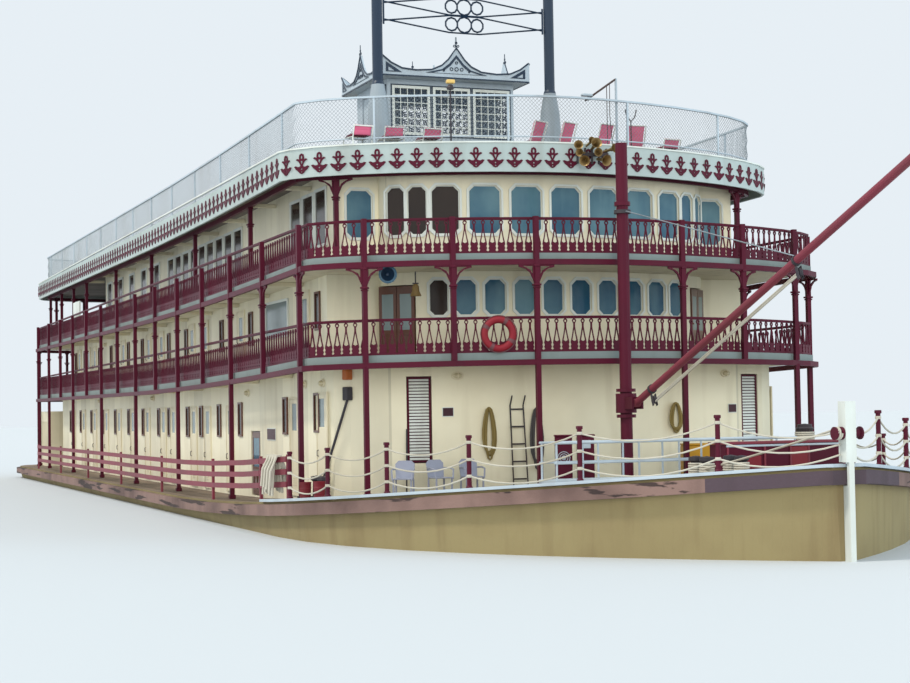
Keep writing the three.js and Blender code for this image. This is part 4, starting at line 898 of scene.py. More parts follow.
def crest_trim(reach):
    """Dark lines along a crest board's top and foot, and the scrolls in its gable and its ends."""
    right = [(share * reach, rise) for share, rise in CREST]
    whole = [(-x, z) for x, z in reversed(right[1:])] + right
    shapes = [fretwork([strip(whole, 0.045)], 0.03, y=0.012),
              fretwork([strip([(-reach, 0.02), (reach, 0.02)], 0.04)], 0.03)]
    gable = [(-0.42 * reach, 0.15), (0.42 * reach, 0.15), (0.2 * reach, 0.28), (0.1 * reach, 0.46),
             (0, 0.74), (-0.1 * reach, 0.46), (-0.2 * reach, 0.28)]
    within = [(x * 0.78, 0.2 + (z - 0.2) * 0.82) for x, z in gable]
    shapes.append(fretwork([gable, within], 0.02, y=0.006))
    for x, z, radius in ((0, 0.5, 0.05), (-0.17, 0.3, 0.06), (0.17, 0.3, 0.06), (0, 0.3, 0.07),
                         (-0.42, 0.24, 0.035), (0.42, 0.24, 0.035)):
        shapes.append(fretwork([ring(radius, (x, z)), ring(radius - 0.022, (x, z))], 0.02, y=0.006))
    for way in (-1, 1):
        corner = [(way * 0.74 * reach, 0.12), (way * 0.95 * reach, 0.12), (way * 0.95 * reach, 0.42)]
        hole = [(way * 0.83 * reach, 0.15), (way * 0.92 * reach, 0.15), (way * 0.92 * reach, 0.28)]
        shapes.append(fretwork([corner, hole], 0.02, y=0.006))
    return joined(*shapes)


crest_z = DRAUGHT + 13.3
middle_aft = (PILOT_FRONT + PILOT_BACK) / 2
ends = [place(PILOT_FRONT - 0.45 - 0.035, 0, crest_z, 0),
        place(PILOT_BACK + 0.45 + 0.035, 0, crest_z, math.pi)]
flanks = [place(middle_aft, side * (2.43 + 0.035), crest_z, side_facing(side)) for side in SIDES]
finial = joined(tube([(0, 0, 0.9), (0, 0, 1.3)], 0.014, 1),
                *[fretwork([ring(0.045, (x, z)), ring(0.02, (x, z))], 0.02)
                  for x, z in ((-0.06, 1.02), (0.06, 1.02), (0, 1.12))])
piece("crest_trim", [(crest_trim(2.43), ends), (crest_trim(1.95), flanks), (finial, ends + flanks)], NAVY)

# %% [markdown]
# Three tiers of rope are slung between the fore deck's iron stanchions as a guard rail, and run on to
# the head of the stem post. Each length hangs in a shallow curve between its two knots, so it is a
# tube along that curve.

# %% Guard ropes of the fore deck
STANCHIONS = {-1: [1.5, 3.6, 5.7, 7.8, 9.9, 11.9], 1: [1.1, 3.2, 5.3, 7.4, 9.5, 11.5]}
ROPE_TIERS = {1.06: 2.55, 0.69: 2.3, 0.33: 2.1}


def edge_half(aft):
    return float(np.interp(aft, [station for station, _ in HULL_PLAN], [half for _, half in HULL_PLAN]))


def slung(start, end, sag, radius, steps=8):
    path = []
    for step in range(steps + 1):
        share = step / steps
        spot = Vector(start).lerp(Vector(end), share)
        spot.z -= sag * 4 * share * (1 - share)
        path.append(tuple(spot))
    return tube(path, radius, 1)


def knot(spot, radius=0.06):
    return lathe([(0, -0.05), (radius, -0.03), (radius * 1.1, 0), (radius, 0.03), (0, 0.05)], 8, at=spot)


ropes = []
for side, stations in STANCHIONS.items():
    for rise, post_level in ROPE_TIERS.items():
        spots = [(STEM + 0.06, side * 0.15, DRAUGHT + post_level)]
        spots += [(STEM - aft, side * (edge_half(aft) - 0.06), main_deck(aft) + rise) for aft in stations]
        for start, end in zip(spots, spots[1:]):
            ropes.append(slung(start, end, 0.085 * (Vector(end) - Vector(start)).length, 0.02))
        ropes += [knot(spot) for spot in spots[1:]]
piece("guard_ropes", [(joined(*ropes), None)], ROPE)
sleeve = joined(lathe([(0.052, 0), (0.052, 1.06), (0.056, 1.08), (0, 1.1)], 10),
                block((0.115, 0.115, 0.07), at=(0, 0, 1.105), bevel=0.012),
                lathe([(0.052, 0), (0.075, 0.0), (0.075, 0.02), (0.052, 0.05)], 10))
standing = [shift(STEM - aft, side * (edge_half(aft) - 0.06), main_deck(aft) + 0.075)
            for side, stations in STANCHIONS.items() for aft in stations]
piece("stanchions", [(sleeve, standing)], MAROON, smooth=40)

# %% [markdown]
# Iron rollers on both sides of the stem post lead the mooring lines, and the bitts and the capstan
# behind it carry turns of rope, wound tight round their barrels.

# %% Rollers, and rope on the bitts and the capstan
roller = lathe([(0, 0), (0.13, 0), (0.13, 0.035), (0.085, 0.06), (0.085, 0.13), (0.13, 0.155), (0.13, 0.19),
                (0, 0.19)], 16)
at_stem = [shift(STEM + 0.09, side * 0.12, DRAUGHT + 2.52) @ spin(-side * math.pi / 2, "X")
           for side in SIDES]
piece("stem_rollers", [(roller, at_stem)], MAROON, smooth=40)


def turns(radius, low, high, count, thick):
    rings = []
    for index in range(count):
        level = low + (high - low) * index / max(1, count - 1)
        circle = [(radius * math.cos(t), radius * math.sin(t), level) for t in turn_steps(14)]
        rings.append(tube(circle, thick, 1, closed=True))
    return joined(*rings)


bitts = [(5.6, -0.1), (5.6, 0.8)]
bitt_posts = [shift(STEM - aft + way * 0.25, y, main_deck(aft - 0.45) + 0.03)
              for aft, y in bitts for way in SIDES]
piece("bitt_ropes", [(turns(0.16, 0.1, 0.37, 6, 0.027), bitt_posts)], ROPE)
CAPSTAN_AT = shift(STEM - 8.95, 4.78, main_deck(8.5) + 0.352)
piece("capstan_rope", [(turns(0.232, 0.67, 0.88, 5, 0.026), [CAPSTAN_AT])], ROPE,
      body="capstan_barrel")
ribs = [block((0.03, 0.045, 0.22), at=(0.205 * math.cos(t), 0.205 * math.sin(t), 0.32), bevel=0.008,
              turn=(0, 0, t)) for t in turn_steps(6)]
piece("capstan_ribs", [(joined(*ribs), [CAPSTAN_AT])], IRON, body="capstan_barrel")

# %% [markdown]
# On the front of the main house hang oval bulkhead lamps, blank plates, and hanks of rope and hose on
# hooks. Each lamp is a cast base, a glass dome and a cage of two bars. A hank is line in long loops. A
# ladder and two poles lean on the wall beside them.

# %% Lamps, plates and hanks on the front wall
LAMP_GLASS = paint("lamp_glass", (206, 196, 164), (150, 132, 90), 0.2, 0.3, rough=0.2, bump=0)
PLATE = paint("plate_maroon", (58, 22, 34), (84, 52, 52), 0.2, 0.3, rough=0.4)
AMBER = paint("lamp_amber", (176, 92, 28), (120, 70, 40), 0.2, 0.3, rough=0.4, bump=0)
OLIVE_ROPE = paint("tan_rope", (142, 124, 74), (96, 82, 54), 0.3, 0.4, rough=0.9)
HOSE = paint("dark_hose", (64, 62, 66), (110, 104, 96), 0.3, 0.5, rough=0.7)
dome = moved(lathe([(0, 0.1), (0.05, 0.095), (0.085, 0.06), (0.1, 0.0)], 16), spin(-math.pi / 2, "X"))
oval_dome = (dome[0] * np.array([1.25, 1, 0.72]), dome[1])
cage = [[(-0.13, 0.04, 0), (-0.1, 0.1, 0), (0, 0.13, 0), (0.1, 0.1, 0), (0.13, 0.04, 0)],
        [(0, 0.04, -0.08), (0, 0.12, -0.05), (0, 0.13, 0), (0, 0.12, 0.05), (0, 0.04, 0.08)]]
lamp_base = joined(fretwork([oval((0, 0), 0.16, 0.1, 16)], 0.04, y=0.02, bevel=0.008),
                   *[tube(bar, 0.008, 1) for bar in cage])
lamps = [front(HOUSE_1_PLAN, y, DRAUGHT + 3.97) for y in (-3.33, 4.64)]
lamps += [on_side(aft, side, HOUSE_HALF[1], DRAUGHT + 3.68) for aft in (21.4, 35.3, 46.6) for side in SIDES]
lamps += [on_side(aft, side, HOUSE_HALF[1], DRAUGHT + 3.83) for aft in (13.75, 15.4) for side in SIDES]
lamps += [on_side(aft, side, HOUSE_HALF[2], DRAUGHT + 6.12) for aft in (24.5, 36.6, 47.0) for side in SIDES]
lit = [spot @ shift(0, 0.03, 0) for spot in lamps]
piece("bulkhead_lamps", [(lamp_base, lamps), (oval_dome, lit)], [CREAM, LAMP_GLASS], smooth=40)
plate = block((0.27, 0.012, 0.21), at=(0, 0.02, 0), bevel=0.003)
plate_rim = block((0.31, 0.014, 0.25), at=(0, 0.009, 0), bevel=0.004)
plates = [front(HOUSE_1_PLAN, -3.59, DRAUGHT + 3.04), front(HOUSE_1_PLAN, 4.86, DRAUGHT + 3.01)]
notice = block((0.84, 0.012, 0.3), at=(0, 0.02, 0), bevel=0.003)
notice_rim = block((0.9, 0.014, 0.36), at=(0, 0.009, 0), bevel=0.004)
notices = [on_side(18.8, side, HOUSE_HALF[1], DRAUGHT + 2.48) for side in SIDES]
piece("blank_plates", [(plate, plates), (plate_rim, plates), (notice, notices), (notice_rim, notices)],
      [PLATE, WHITE, PLATE, WHITE])


def hank(drop, width, loops, radius):
    """Long loops of line hung over a hook at z = 0."""
    shapes = [block((0.05, 0.12, 0.03), at=(0, 0.06, -0.02), bevel=0.006)]
    for index in range(loops):
        lean = (index - (loops - 1) / 2) / max(1, loops)
        w = width / 2 * (0.75 + 0.25 * math.cos(index * 2.1))
        low = -drop * (0.92 + 0.08 * math.sin(index * 1.7))
        path = [(w * math.sin(t) * (1 - 0.3 * math.cos(t)) + lean * width * 0.3, 0.05 + 0.025 * index,
                 low / 2 * (1 - math.cos(t))) for t in turn_steps(16)]
        shapes.append(tube(path, radius, 1, closed=True))
    return joined(*shapes)


hanks = [(OLIVE_ROPE, -2.52, 3.13, 1.34, 0.3), (HOSE, -1.22, 3.1, 1.6, 0.3),
         (OLIVE_ROPE, 2.92, 3.18, 0.8, 0.34)]
piece("wall_hanks", [(hank(drop, width, 4, 0.026), [front(HOUSE_1_PLAN, y, DRAUGHT + level)])
                     for _, y, level, drop, width in hanks], [colour for colour, *_ in hanks])
steps = [block((0.36, 0.03, 0.04), at=(0, 0.24 - 0.2 * rise / 2.1, rise))
         for rise in (0.35, 0.8, 1.25, 1.7, 2.15)]
rungs = joined(tube([(-0.2, 0.28, 0), (-0.18, 0.04, 2.25), (-0.18, 0.2, 2.5)], 0.02, 1),
               tube([(0.2, 0.28, 0), (0.18, 0.04, 2.25), (0.18, 0.2, 2.5)], 0.02, 1), *steps)
pole_foot = main_deck(12.1) + 0.02
leaning = tube([(STEM - 12.96, -6.12, DRAUGHT + 3.45), (STEM - 13.45, -6.8, pole_foot)], 0.035, 2)
propped = tube([(STEM - 12.6, -4.68, DRAUGHT + 2.62), (STEM - 12.4, -4.78, pole_foot)], 0.02, 1)
top_box = block((0.2, 0.2, 0.34), at=(STEM - 13.0, -6.12, DRAUGHT + 3.55), bevel=0.02, turn=(0, 0, -1.2))
guard_box = block((0.2, 0.2, 0.26), at=(STEM - 13.0, -6.12, DRAUGHT + 4.03), bevel=0.02, turn=(0, 0, -1.2))
piece("wall_poles", [(leaning, None), (propped, None), (top_box, None), (guard_box, None)],
      [IRON, IRON, IRON, AMBER])
piece("wall_ladder", [(rungs, [front(HOUSE_1_PLAN, -1.75, lambda aft: main_deck(aft - 0.3) + 0.01)])], IRON)

# %% [markdown]
# The two louvred doors are frames filled with slanting slats that shed rain and let the engine room
# breathe. The frame is dark and the slats are pale, and a dark sheet behind them is painted shade.

# %% Louvred doors
LOUVRES = {"starboard": -4.33, "port": 5.53}
width, height, sill = 0.62, 2.18, 0.87
louvre_frame = fretwork([rectangle(width, height, (0, height / 2)),
                         rectangle(width - 0.1, height - 0.1, (0, height / 2))], 0.05)
slats = [block((width - 0.1, 0.01, 0.055), at=(0, 0, 0.09 + 0.0806 * row), turn=(math.radians(16), 0, 0))
         for row in range(26)]
# A dark maroon sheet just behind the slats: painted shade showing between them.
back = block((width - 0.1, 0.008, height - 0.1), at=(0, -0.02, height / 2))
for name, y in LOUVRES.items():
    spot = [front(HOUSE_1_PLAN, y, lambda aft: main_deck(aft) + sill) @ shift(0, -0.06, 0)]
    piece(f"louvre_slats_{name}", [(louvre_frame, spot), (joined(*slats), spot), (back, spot)],
          [MAROON, WHITE, PLATE], body=f"louvre_{name}",
          replaces=[f"louvre_door_{name}"])

# %% [markdown]
# The glazed saloon doors have stiles and rails round a tall pane, as joiners make them. They are
# trim on the leaf, so they swing with it.

# %% Trim of the hinged doors
sash = joined(fretwork([rectangle(0.49, 1.88, (0, 0.95)), rectangle(0.33, 0.95, (0, 1.22)),
                        rectangle(0.33, 0.42, (0, 0.4))], 0.016, bevel=0.004),
              block((0.06, 0.05, 0.05), at=(0.2, 0.02, 0.92), bevel=0.01))
sash_pane = block((0.34, 0.008, 0.96), at=(0, 0, 1.22))
leaf_z = upper(FLOOR_2)(14.2) + 0.07
for name, side in SIDE_OF.items():
    for leaf, which in ((-1, "inner"), (1, "outer")):
        spot = [front(BAY_PLAN, side * 4.52, leaf_z) @ shift(-side * leaf * 0.255, -0.066, 0)]
        piece(f"saloon_sash_{name}_{which}", [(sash, spot), (sash_pane, spot)], [WOOD, GREY_GLASS],
              body=f"saloon_{name}_{which}")
entrance_sash = fretwork([rectangle(0.84, 1.76, (0, 0.925)), rectangle(0.66, 0.85, (0, 1.25)),
                          rectangle(0.32, 0.5, (-0.19, 0.42)), rectangle(0.32, 0.5, (0.19, 0.42))], 0.02,
                         bevel=0.005)
entrance_pane = block((0.68, 0.008, 0.87), at=(0, -0.004, 1.25))
for name, side in SIDE_OF.items():
    spot = [place(20.6, side * (HOUSE_HALF[1] - 0.025), main_deck(20.6) + 0.06, side_facing(side))]
    piece(f"entrance_sash_{name}", [(entrance_sash, spot), (entrance_pane, spot)], [WOOD, GLASS_PAINTED_REFLECTION],
          body=f"entrance_{name}")

# %% [markdown]
# Between the upper decks hang the ship's brass bell and a loudspeaker horn, and a red life ring is
# lashed to the rail in front of the saloon. Bell and horn are turned shells, open at the mouth.

# %% Bell, loudspeaker and life ring
bell = lathe([(0.0, 0.3), (0.05, 0.3), (0.085, 0.24), (0.095, 0.12), (0.15, 0.0), (0.135, 0.0),
              (0.08, 0.12), (0.07, 0.22), (0.0, 0.26)], 20)
clapper = joined(tube([(0, 0, 0.26), (0, 0, 0.04)], 0.008, 1),
                 lathe([(0, -0.01), (0.03, 0.02), (0, 0.06)], 8))
yoke = joined(tube([(0, 0, 0.29), (0, 0, 0.62)], 0.018, 1),
              block((0.16, 0.05, 0.03), at=(0, 0, 0.32), bevel=0.006))
bell_at = [place(12.0, -4.6, DRAUGHT + 5.98, 0)]
piece("deck_bell", [(bell, bell_at), (clapper, bell_at), (yoke, bell_at)], [BRASS, IRON, IRON],
      smooth=40)
HORN_BLUE = paint("loudspeaker_blue", (60, 92, 112), (92, 96, 96), 0.3, 0.4, rough=0.5)
trumpet = lathe([(0, -0.16), (0.07, -0.16), (0.07, -0.04), (0.05, 0.0), (0.1, 0.1), (0.2, 0.24),
                 (0.23, 0.27), (0.215, 0.275), (0.195, 0.25), (0.17, 0.25)], 20)
throat = lathe([(0.19, 0.25), (0.15, 0.19), (0.07, 0.1), (0.03, 0.08), (0.035, 0.2), (0, 0.22)], 20)
aimed = place(11.6, -5.5, DRAUGHT + 6.47, -0.25) @ spin(-math.pi / 2, "X")
arm = joined(tube([(0, 0, -0.08), (0, -0.2, -0.08)], 0.02, 1),
             block((0.12, 0.03, 0.1), at=(0, -0.2, -0.08), bevel=0.006))
piece("loudspeaker", [(trumpet, [aimed]), (throat, [aimed]), (arm, [aimed])], [HORN_BLUE, NAVY, IRON],
      smooth=35)
LIFE_RED = paint("life_ring_red", (132, 22, 36), (104, 44, 46), 0.2, 0.3, rough=0.6)
BAND = paint("life_ring_bands", (104, 66, 70), (84, 60, 60), 0.2, 0.3, rough=0.7)
MAJOR, MINOR = 0.36, 0.095


def ring_part(start, end, steps, minor=MINOR):
    path = []
    for step in range(steps + 1):
        t = start + (end - start) * step / steps
        path.append((MAJOR * math.cos(t), 0, MAJOR * math.sin(t)))
    return tube(path, minor, 2)


reds = [ring_part(math.pi / 2 * q + 0.62, math.pi / 2 * (q + 1) + 0.38, 9) for q in range(4)]
whites = [ring_part(math.pi / 2 * q + 0.38, math.pi / 2 * q + 0.62, 3, minor=MINOR + 0.006)
          for q in range(4)]
GRAB = MAJOR + 0.1
grab = []
for q in range(4):
    arc = [math.pi / 2 * q + 0.5 + math.pi / 2 * step / 6 for step in range(7)]
    grab.append(tube([(GRAB * math.cos(t), 0.05, GRAB * math.sin(t)) for t in arc], 0.012, 1))
ring_aft, ring_slope = on_plan(DECK_PLAN[:9], 3.0)
ring_at = [place(ring_aft + 0.06, -3.0, DRAUGHT + 4.95, -ring_slope)]
piece("life_ring", [(joined(*reds), ring_at), (joined(*whites, *grab), ring_at)], [LIFE_RED, BAND],
      smooth=50)

# %% [markdown]
# A cluster of brass chime horns stands over the front eaves, abaft the mast. Each is a flared tube, open
# at the front, and they share one bracket.

# %% Horns over the front eaves
HORNS_X = STEM - 11.78
chime = lathe([(0, -0.12), (0.035, -0.12), (0.04, 0.1), (0.07, 0.22), (0.125, 0.3), (0.135, 0.31),
               (0.12, 0.3), (0.055, 0.2), (0.025, 0.08), (0, 0.06)], 16)
horn_spots = [(-0.12, 0.16, 0.9), (0.1, -0.12, 1.05), (0.3, 0.18, 1.1), (0.5, -0.12, 1.1),
              (0.72, 0.12, 0.95), (0.02, 0.04, 0.8), (0.4, 0.03, 0.85), (0.16, 0.26, 0.8)]
horns = []
for index, (y, rise, size) in enumerate(horn_spots):
    swing = math.radians((-24, -34, -8, 6, 18, -50, -14, 4)[index])
    tip = math.radians((10, -16, 14, -12, 6, -4, 0, 18)[index])
    spot = shift(HORNS_X + 0.06, y, DRAUGHT + 9.71 + rise)
    horns.append(spot @ spin(swing, "Z") @ spin(math.pi / 2 - tip, "Y") @ Matrix.Scale(size, 4))
mount = joined(block((0.06, 0.95, 0.1), at=(0, 0.3, 0.02), bevel=0.01),
               *[block((0.05, 0.05, 0.42), at=(0, y, -0.02), bevel=0.008)
                 for y in (-0.12, 0.1, 0.3, 0.5, 0.72)])
piece("chime_horns", [(chime, horns), (mount, [shift(HORNS_X, 0, DRAUGHT + 9.7)])], [BRASS, IRON],
      replaces=["lamp_cluster"], smooth=35)

# %% [markdown]
# The roof deck is an open sun deck. Chain-link fills the rail round it, and two low tubes stiffen
# it. The link is two families of thin slanting wires that cross.

# %% Chain-link and tubes of the top rail
RAIL_RISE = 1.4
roof_rail = inset(ROOF_PLAN, 0.45)
LINK = 0.105


def mesh_wires(plan, floor, low, high, pitch, radius):
    """Two families of slanting wires between two heights, following the plan round the ship."""
    half = [Vector((STEM - aft, -own)) for aft, own in plan]
    loop = half + [Vector((spot.x, -spot.y)) for spot in reversed(half)]
    spans = [(b - a).length for a, b in zip(loop, loop[1:] + loop[:1])]
    marks = np.concatenate([[0], np.cumsum(spans)])
    xs, ys = [spot.x for spot in loop] + [loop[0].x], [spot.y for spot in loop] + [loop[0].y]
    whole = marks[-1]
    count, steps, rise = round(whole / pitch), 3, high - low
    points, faces = [], []
    for lean in (1, -1):
        for index in range(count):
            base = len(points)
            for step in range(steps + 1):
                share = step / steps
                at = (index * pitch + lean * share * rise) % whole
                x, y = float(np.interp(at, marks, xs)), float(np.interp(at, marks, ys))
                ahead = (at + 0.02) % whole
                way = Vector((float(np.interp(ahead, marks, xs)) - x,
                              float(np.interp(ahead, marks, ys)) - y)).normalized()
                outward = Vector((-way.y, way.x)) * radius
                z = floor(STEM - x) + low + share * rise
                points.append((x + outward.x, y + outward.y, z))
                points.append((x - outward.x / 2 + way.x * radius * 0.6,
                               y - outward.y / 2 + way.y * radius * 0.6, z - lean * radius * 0.6))
                points.append((x - outward.x / 2 - way.x * radius * 0.6,
                               y - outward.y / 2 - way.y * radius * 0.6, z + lean * radius * 0.6))
            for step in range(steps):
                a = base + step * 3
                for corner in range(3):
                    b = (corner + 1) % 3
                    side_face = (a + corner, a + b, a + 3 + b, a + 3 + corner)
                    faces.append(side_face if lean > 0 else side_face[::-1])
    return np.array(points), faces


roof = upper(ROOF)
links = mesh_wires(roof_rail, roof, 0.06, RAIL_RISE - 0.05, LINK, 0.0045)
low_tube = [(0.02 * math.cos(t), 0.02 * math.sin(t)) for t in turn_steps(6)]
tubes = [(swept(roof_rail, lambda aft, rise=rise: roof(aft) + rise, low_tube), None)
         for rise in (0.12, 0.3)]
piece("chain_link", [(links, None)], SILVER)
piece("top_rail_tubes", tubes, GREY_WHITE)

# %% [markdown]
# The loungers are bent tube with loose pads. A pad is sewn from two panels and stuffed, so it
# crowns in the middle, its sides pull in between the corners, and stitched channels run across.

# %% Loungers on the sun deck
PINK = paint("pink_fabric", (214, 104, 136), (160, 92, 108), 0.2, 0.4, rough=0.9, bump=0.5)
SEAT = paint("maroon_fabric", (96, 28, 44), (90, 52, 56), 0.2, 0.4, rough=0.9, bump=0.5)


def pad(width, length, thick, channels):
    """A stuffed pad, flat on the underside where it rests, with stitched channels at the given shares."""
    cells, points, faces, top = 14, [], [], {}
    for upside in (1, -0.4):
        layer = {}
        for i in range(cells + 1):
            for j in range(cells + 1):
                on_border = i in (0, cells) or j in (0, cells)
                if on_border and top:
                    layer[i, j] = top[i, j]
                    continue
                u, v = 2 * i / cells - 1, 2 * j / cells - 1
                puff = math.sqrt((1 - u ** 6) * (1 - v ** 6))
                dip = min(1, sum(math.exp(-((v - c) / 0.08) ** 2) for c in channels))
                layer[i, j] = len(points)
                points.append((width / 2 * u * (1 - 0.05 * (1 - v * v)),
                               length / 2 * v * (1 - 0.05 * (1 - u * u)),
                               upside * thick * puff * (1 - 0.4 * dip)))
        for i in range(cells):
            for j in range(cells):
                face = (layer[i, j], layer[i + 1, j], layer[i + 1, j + 1], layer[i, j + 1])
                faces.append(face if upside > 0 else face[::-1])
        top = layer
    return np.array(points), faces


def lounger_frame(rise):
    """Two bent side tubes with legs, and the rails between them; the back rakes up by rise."""
    back_y = -0.3 - 0.35 * rise
    paths = []
    for x in (-0.27, 0.27):
        paths.append([(x, 0.34, 0), (x, 0.3, 0.34), (x, -0.3, 0.32), (x, back_y, 0.32 + rise)])
        paths.append([(x, -0.34, 0), (x, -0.28, 0.32)])
    for y, z in ((back_y, 0.32 + rise), (0.3, 0.34), (-0.1, 0.327), (0.1, 0.333)):
        paths.append([(-0.27, y, z), (0.27, y, z)])
    return joined(*[tube(path, 0.018, 1) for path in paths])


loungers = [(13.9, y, 0.28, turn) for y, turn in ((-5.45, 0.1), (-4.53, -0.05), (-3.5, 0.08), (3.6, 0.1))]
loungers += [(14.0, y, 0.62, turn) for y, turn in ((-0.58, 0.5), (0.31, 0.45), (1.5, 0.3), (2.57, -0.1))]
frames_of = []
for index, (aft, y, rise, turn) in enumerate(loungers):
    spot = [place(aft, y, roof(aft - 0.4), math.pi + turn)]
    frames_of.append((lounger_frame(rise), spot))
    seat_at = shift(0, 0, 0.373)
    middle_of_back = shift(0, -0.27 - 0.175 * rise, 0.36 + rise / 2)
    lean = middle_of_back @ spin(math.atan2(0.35, 1), "X") @ spin(-math.pi / 2, "X")
    seat = piece(f"lounger_seat_{index + 1}", [(moved(pad(0.5, 0.56, 0.08, (-0.33, 0.33)), seat_at), spot)],
                 SEAT, smooth=60)
    back = piece(f"lounger_back_{index + 1}", [(moved(pad(0.5, rise, 0.07, (0,)), lean), spot)], PINK,
                 smooth=60)
piece("lounger_frames", frames_of, WHITE)

# %% [markdown]
# Thin poles stand at the front of the roof deck: a lamp on a staff, a floodlight on a slanting arm
# with its stays, and a forked bracket.

# %% Poles at the front of the roof deck
staff = joined(lathe([(0.07, 0), (0.07, 0.03), (0.025, 0.05), (0.02, 1.5), (0, 1.52)], 8),
               lathe([(0, 1.5), (0.09, 1.5), (0.1, 1.55), (0.06, 1.62), (0, 1.64)], 12))
staff_lamp = block((0.22, 0.14, 0.1), at=(0, 0.02, 1.7), bevel=0.02)
mast_pole = lathe([(0.08, 0), (0.08, 0.03), (0.035, 0.05), (0.035, 2.0), (0, 2.02)], 8)
slanted = joined(tube([(0, 0, 1.99), (0.92, 0, 1.36)], 0.03, 1),
                 tube([(0.28, 0, 0.02), (0.28, 0, 1.8)], 0.012, 1),
                 tube([(0.12, 0, 0.02), (0.2, 0, 1.0), (0.19, 0, 1.86)], 0.01, 1))
flood = joined(block((0.3, 0.16, 0.07), at=(0.9, 0.05, 1.5), bevel=0.02),
               block((0.06, 0.06, 0.16), at=(0.82, 0, 1.45), bevel=0.01))
forked = joined(tube([(0, 0, 0), (0, 0, 0.9)], 0.018, 1),
                tube([(-0.17, 0, 1.2), (-0.12, 0, 1.0), (0, 0, 0.88), (0.12, 0, 1.0), (0.17, 0, 1.2)],
                     0.016, 1))
LAMP_YELLOW = paint("lamp_yellow", (226, 190, 110), (160, 130, 80), 0.2, 0.3, rough=0.4)
staff_at = [place(12.75, -3.28, roof(12.7), 0)]
pole_at = [place(12.6, 1.45, roof(12.5), 0)]
forked_at = [place(12.7, 1.93, roof(12.6), 0)]
piece("roof_poles", [(staff, staff_at), (mast_pole, pole_at), (slanted, pole_at), (forked, forked_at)],
      [IRON, GREY_WHITE, IRON, IRON])
piece("roof_lamps", [(staff_lamp, staff_at), (flood, pole_at)], [LAMP_YELLOW, GREY_WHITE])

# %% [markdown]
# Aft of the pilot house the roof carries what every such deck needs: turned mushroom ventilators
# over the cabins, and life-raft canisters strapped to cradles by the rail.

# %% Ventilators and life-raft canisters
mushroom = lathe([(0.2, 0), (0.2, 0.03), (0.13, 0.06), (0.13, 0.34), (0.26, 0.36), (0.25, 0.42),
                  (0.16, 0.5), (0, 0.53)], 20)
vents = [shift(STEM - aft, y, roof(aft)) for aft in (30.5, 36.5, 42.5, 48.5, 54.5) for y in (-1.9, 1.9)]
canister = lathe([(0, -0.62), (0.22, -0.6), (0.29, -0.52), (0.3, -0.03), (0.32, -0.03), (0.32, 0.03),
                  (0.3, 0.03), (0.29, 0.52), (0.22, 0.6), (0, 0.62)], 20, at=(0, 0, 0.46),
                 turn=(0, math.pi / 2, 0))
strap = [(0.32 * math.cos(t), 0.46 + 0.32 * math.sin(t)) for t in turn_steps(16)]
cradle = joined(*[block((0.06, 0.5, 0.22), at=(x, 0, 0.11), bevel=0.01) for x in (-0.35, 0.35)],
                *[tube([(x, y, z) for y, z in strap], 0.012, 1, closed=True) for x in (-0.35, 0.35)])
rafts = [place(aft, side * 5.6, roof(aft), side_facing(side)) for aft in (33.5, 45.0) for side in SIDES]
piece("roof_ventilators", [(mushroom, vents)], GREY_WHITE, smooth=35)
piece("raft_canisters", [(canister, rafts), (cradle, rafts)], [WHITE, IRON], smooth=35)

# %% [markdown]
# Gear on the fore deck: moulded chairs along the wall, two pump cabinets with a fan, and a yellow
# locker. Each stands on the deck on its own feet.

# %% Gear on the fore deck
CHAIR_GREY = paint("chair_grey", (146, 151, 168), (112, 114, 124), 0.2, 0.3, rough=0.5)
YELLOW = paint("locker_yellow", (214, 160, 40), (150, 110, 50), 0.3, 0.3, rough=0.5)


def moulded_chair():
    """A stacking chair facing forward: raked back, curved arms, square legs."""
    legs = [block((0.05, 0.05, 0.42), at=(x, y, 0.21), bevel=0.01, taper=0.8)
            for x in (-0.22, 0.22) for y in (-0.2, 0.2)]
    outline = [(-0.22, 0.42), (0.22, 0.42), (0.24, 0.8), (0.16, 0.88), (-0.16, 0.88), (-0.24, 0.8)]
    raked = shift(0, -0.14, 0) @ spin(math.radians(10), "X")
    back = moved(fretwork([outline], 0.025, bevel=0.005), raked)
    arms = [tube([(x, -0.22, 0.66), (x * 1.12, 0, 0.67), (x * 1.1, 0.2, 0.64), (x, 0.23, 0.4)], 0.022, 1)
            for x in (-0.24, 0.24)]
    return joined(block((0.46, 0.46, 0.03), at=(0, 0.01, 0.43), bevel=0.01), back, *legs, *arms)


chair_spots = [place(aft, y, main_deck(aft - 0.3) + 0.005, turn)
               for aft, y, turn in ((11.3, -5.25, -0.5), (11.2, -4.32, 0.15), (11.25, -3.45, 0.0))]
piece("deck_chairs", [(moulded_chair(), chair_spots)], CHAIR_GREY)
cabinet = joined(block((0.42, 0.5, 1.26), at=(0, 0, 0.69), bevel=0.02),
                 block((0.46, 0.54, 0.04), at=(0, 0, 1.34), bevel=0.01),
                 block((0.36, 0.44, 0.06), at=(0, 0, 0.03)))
guard = [[(r * math.cos(t), 0.265, 0.8 + r * math.sin(t)) for t in turn_steps(16)]
         for r in (0.05, 0.1, 0.15)]
hub = lathe([(0, 0), (0.04, 0), (0.03, 0.02), (0, 0.03)], 10, at=(0, 0.255, 0.8), turn=(-math.pi / 2, 0, 0))
grille = joined(*[tube(circle, 0.008, 1, closed=True) for circle in guard], hub)
label = block((0.24, 0.012, 0.2), at=(0, 0.256, 1.12), bevel=0.003)
cabinets = [place(9.9, -1.55, main_deck(9.5) + 0.005, -0.4),
            place(9.9, -0.95, main_deck(9.5) + 0.005, -0.4)]
piece("pump_cabinets", [(cabinet, cabinets), (grille, cabinets[:1]), (label, cabinets[1:])],
      [MAROON, GREY_WHITE, GREY_WHITE])
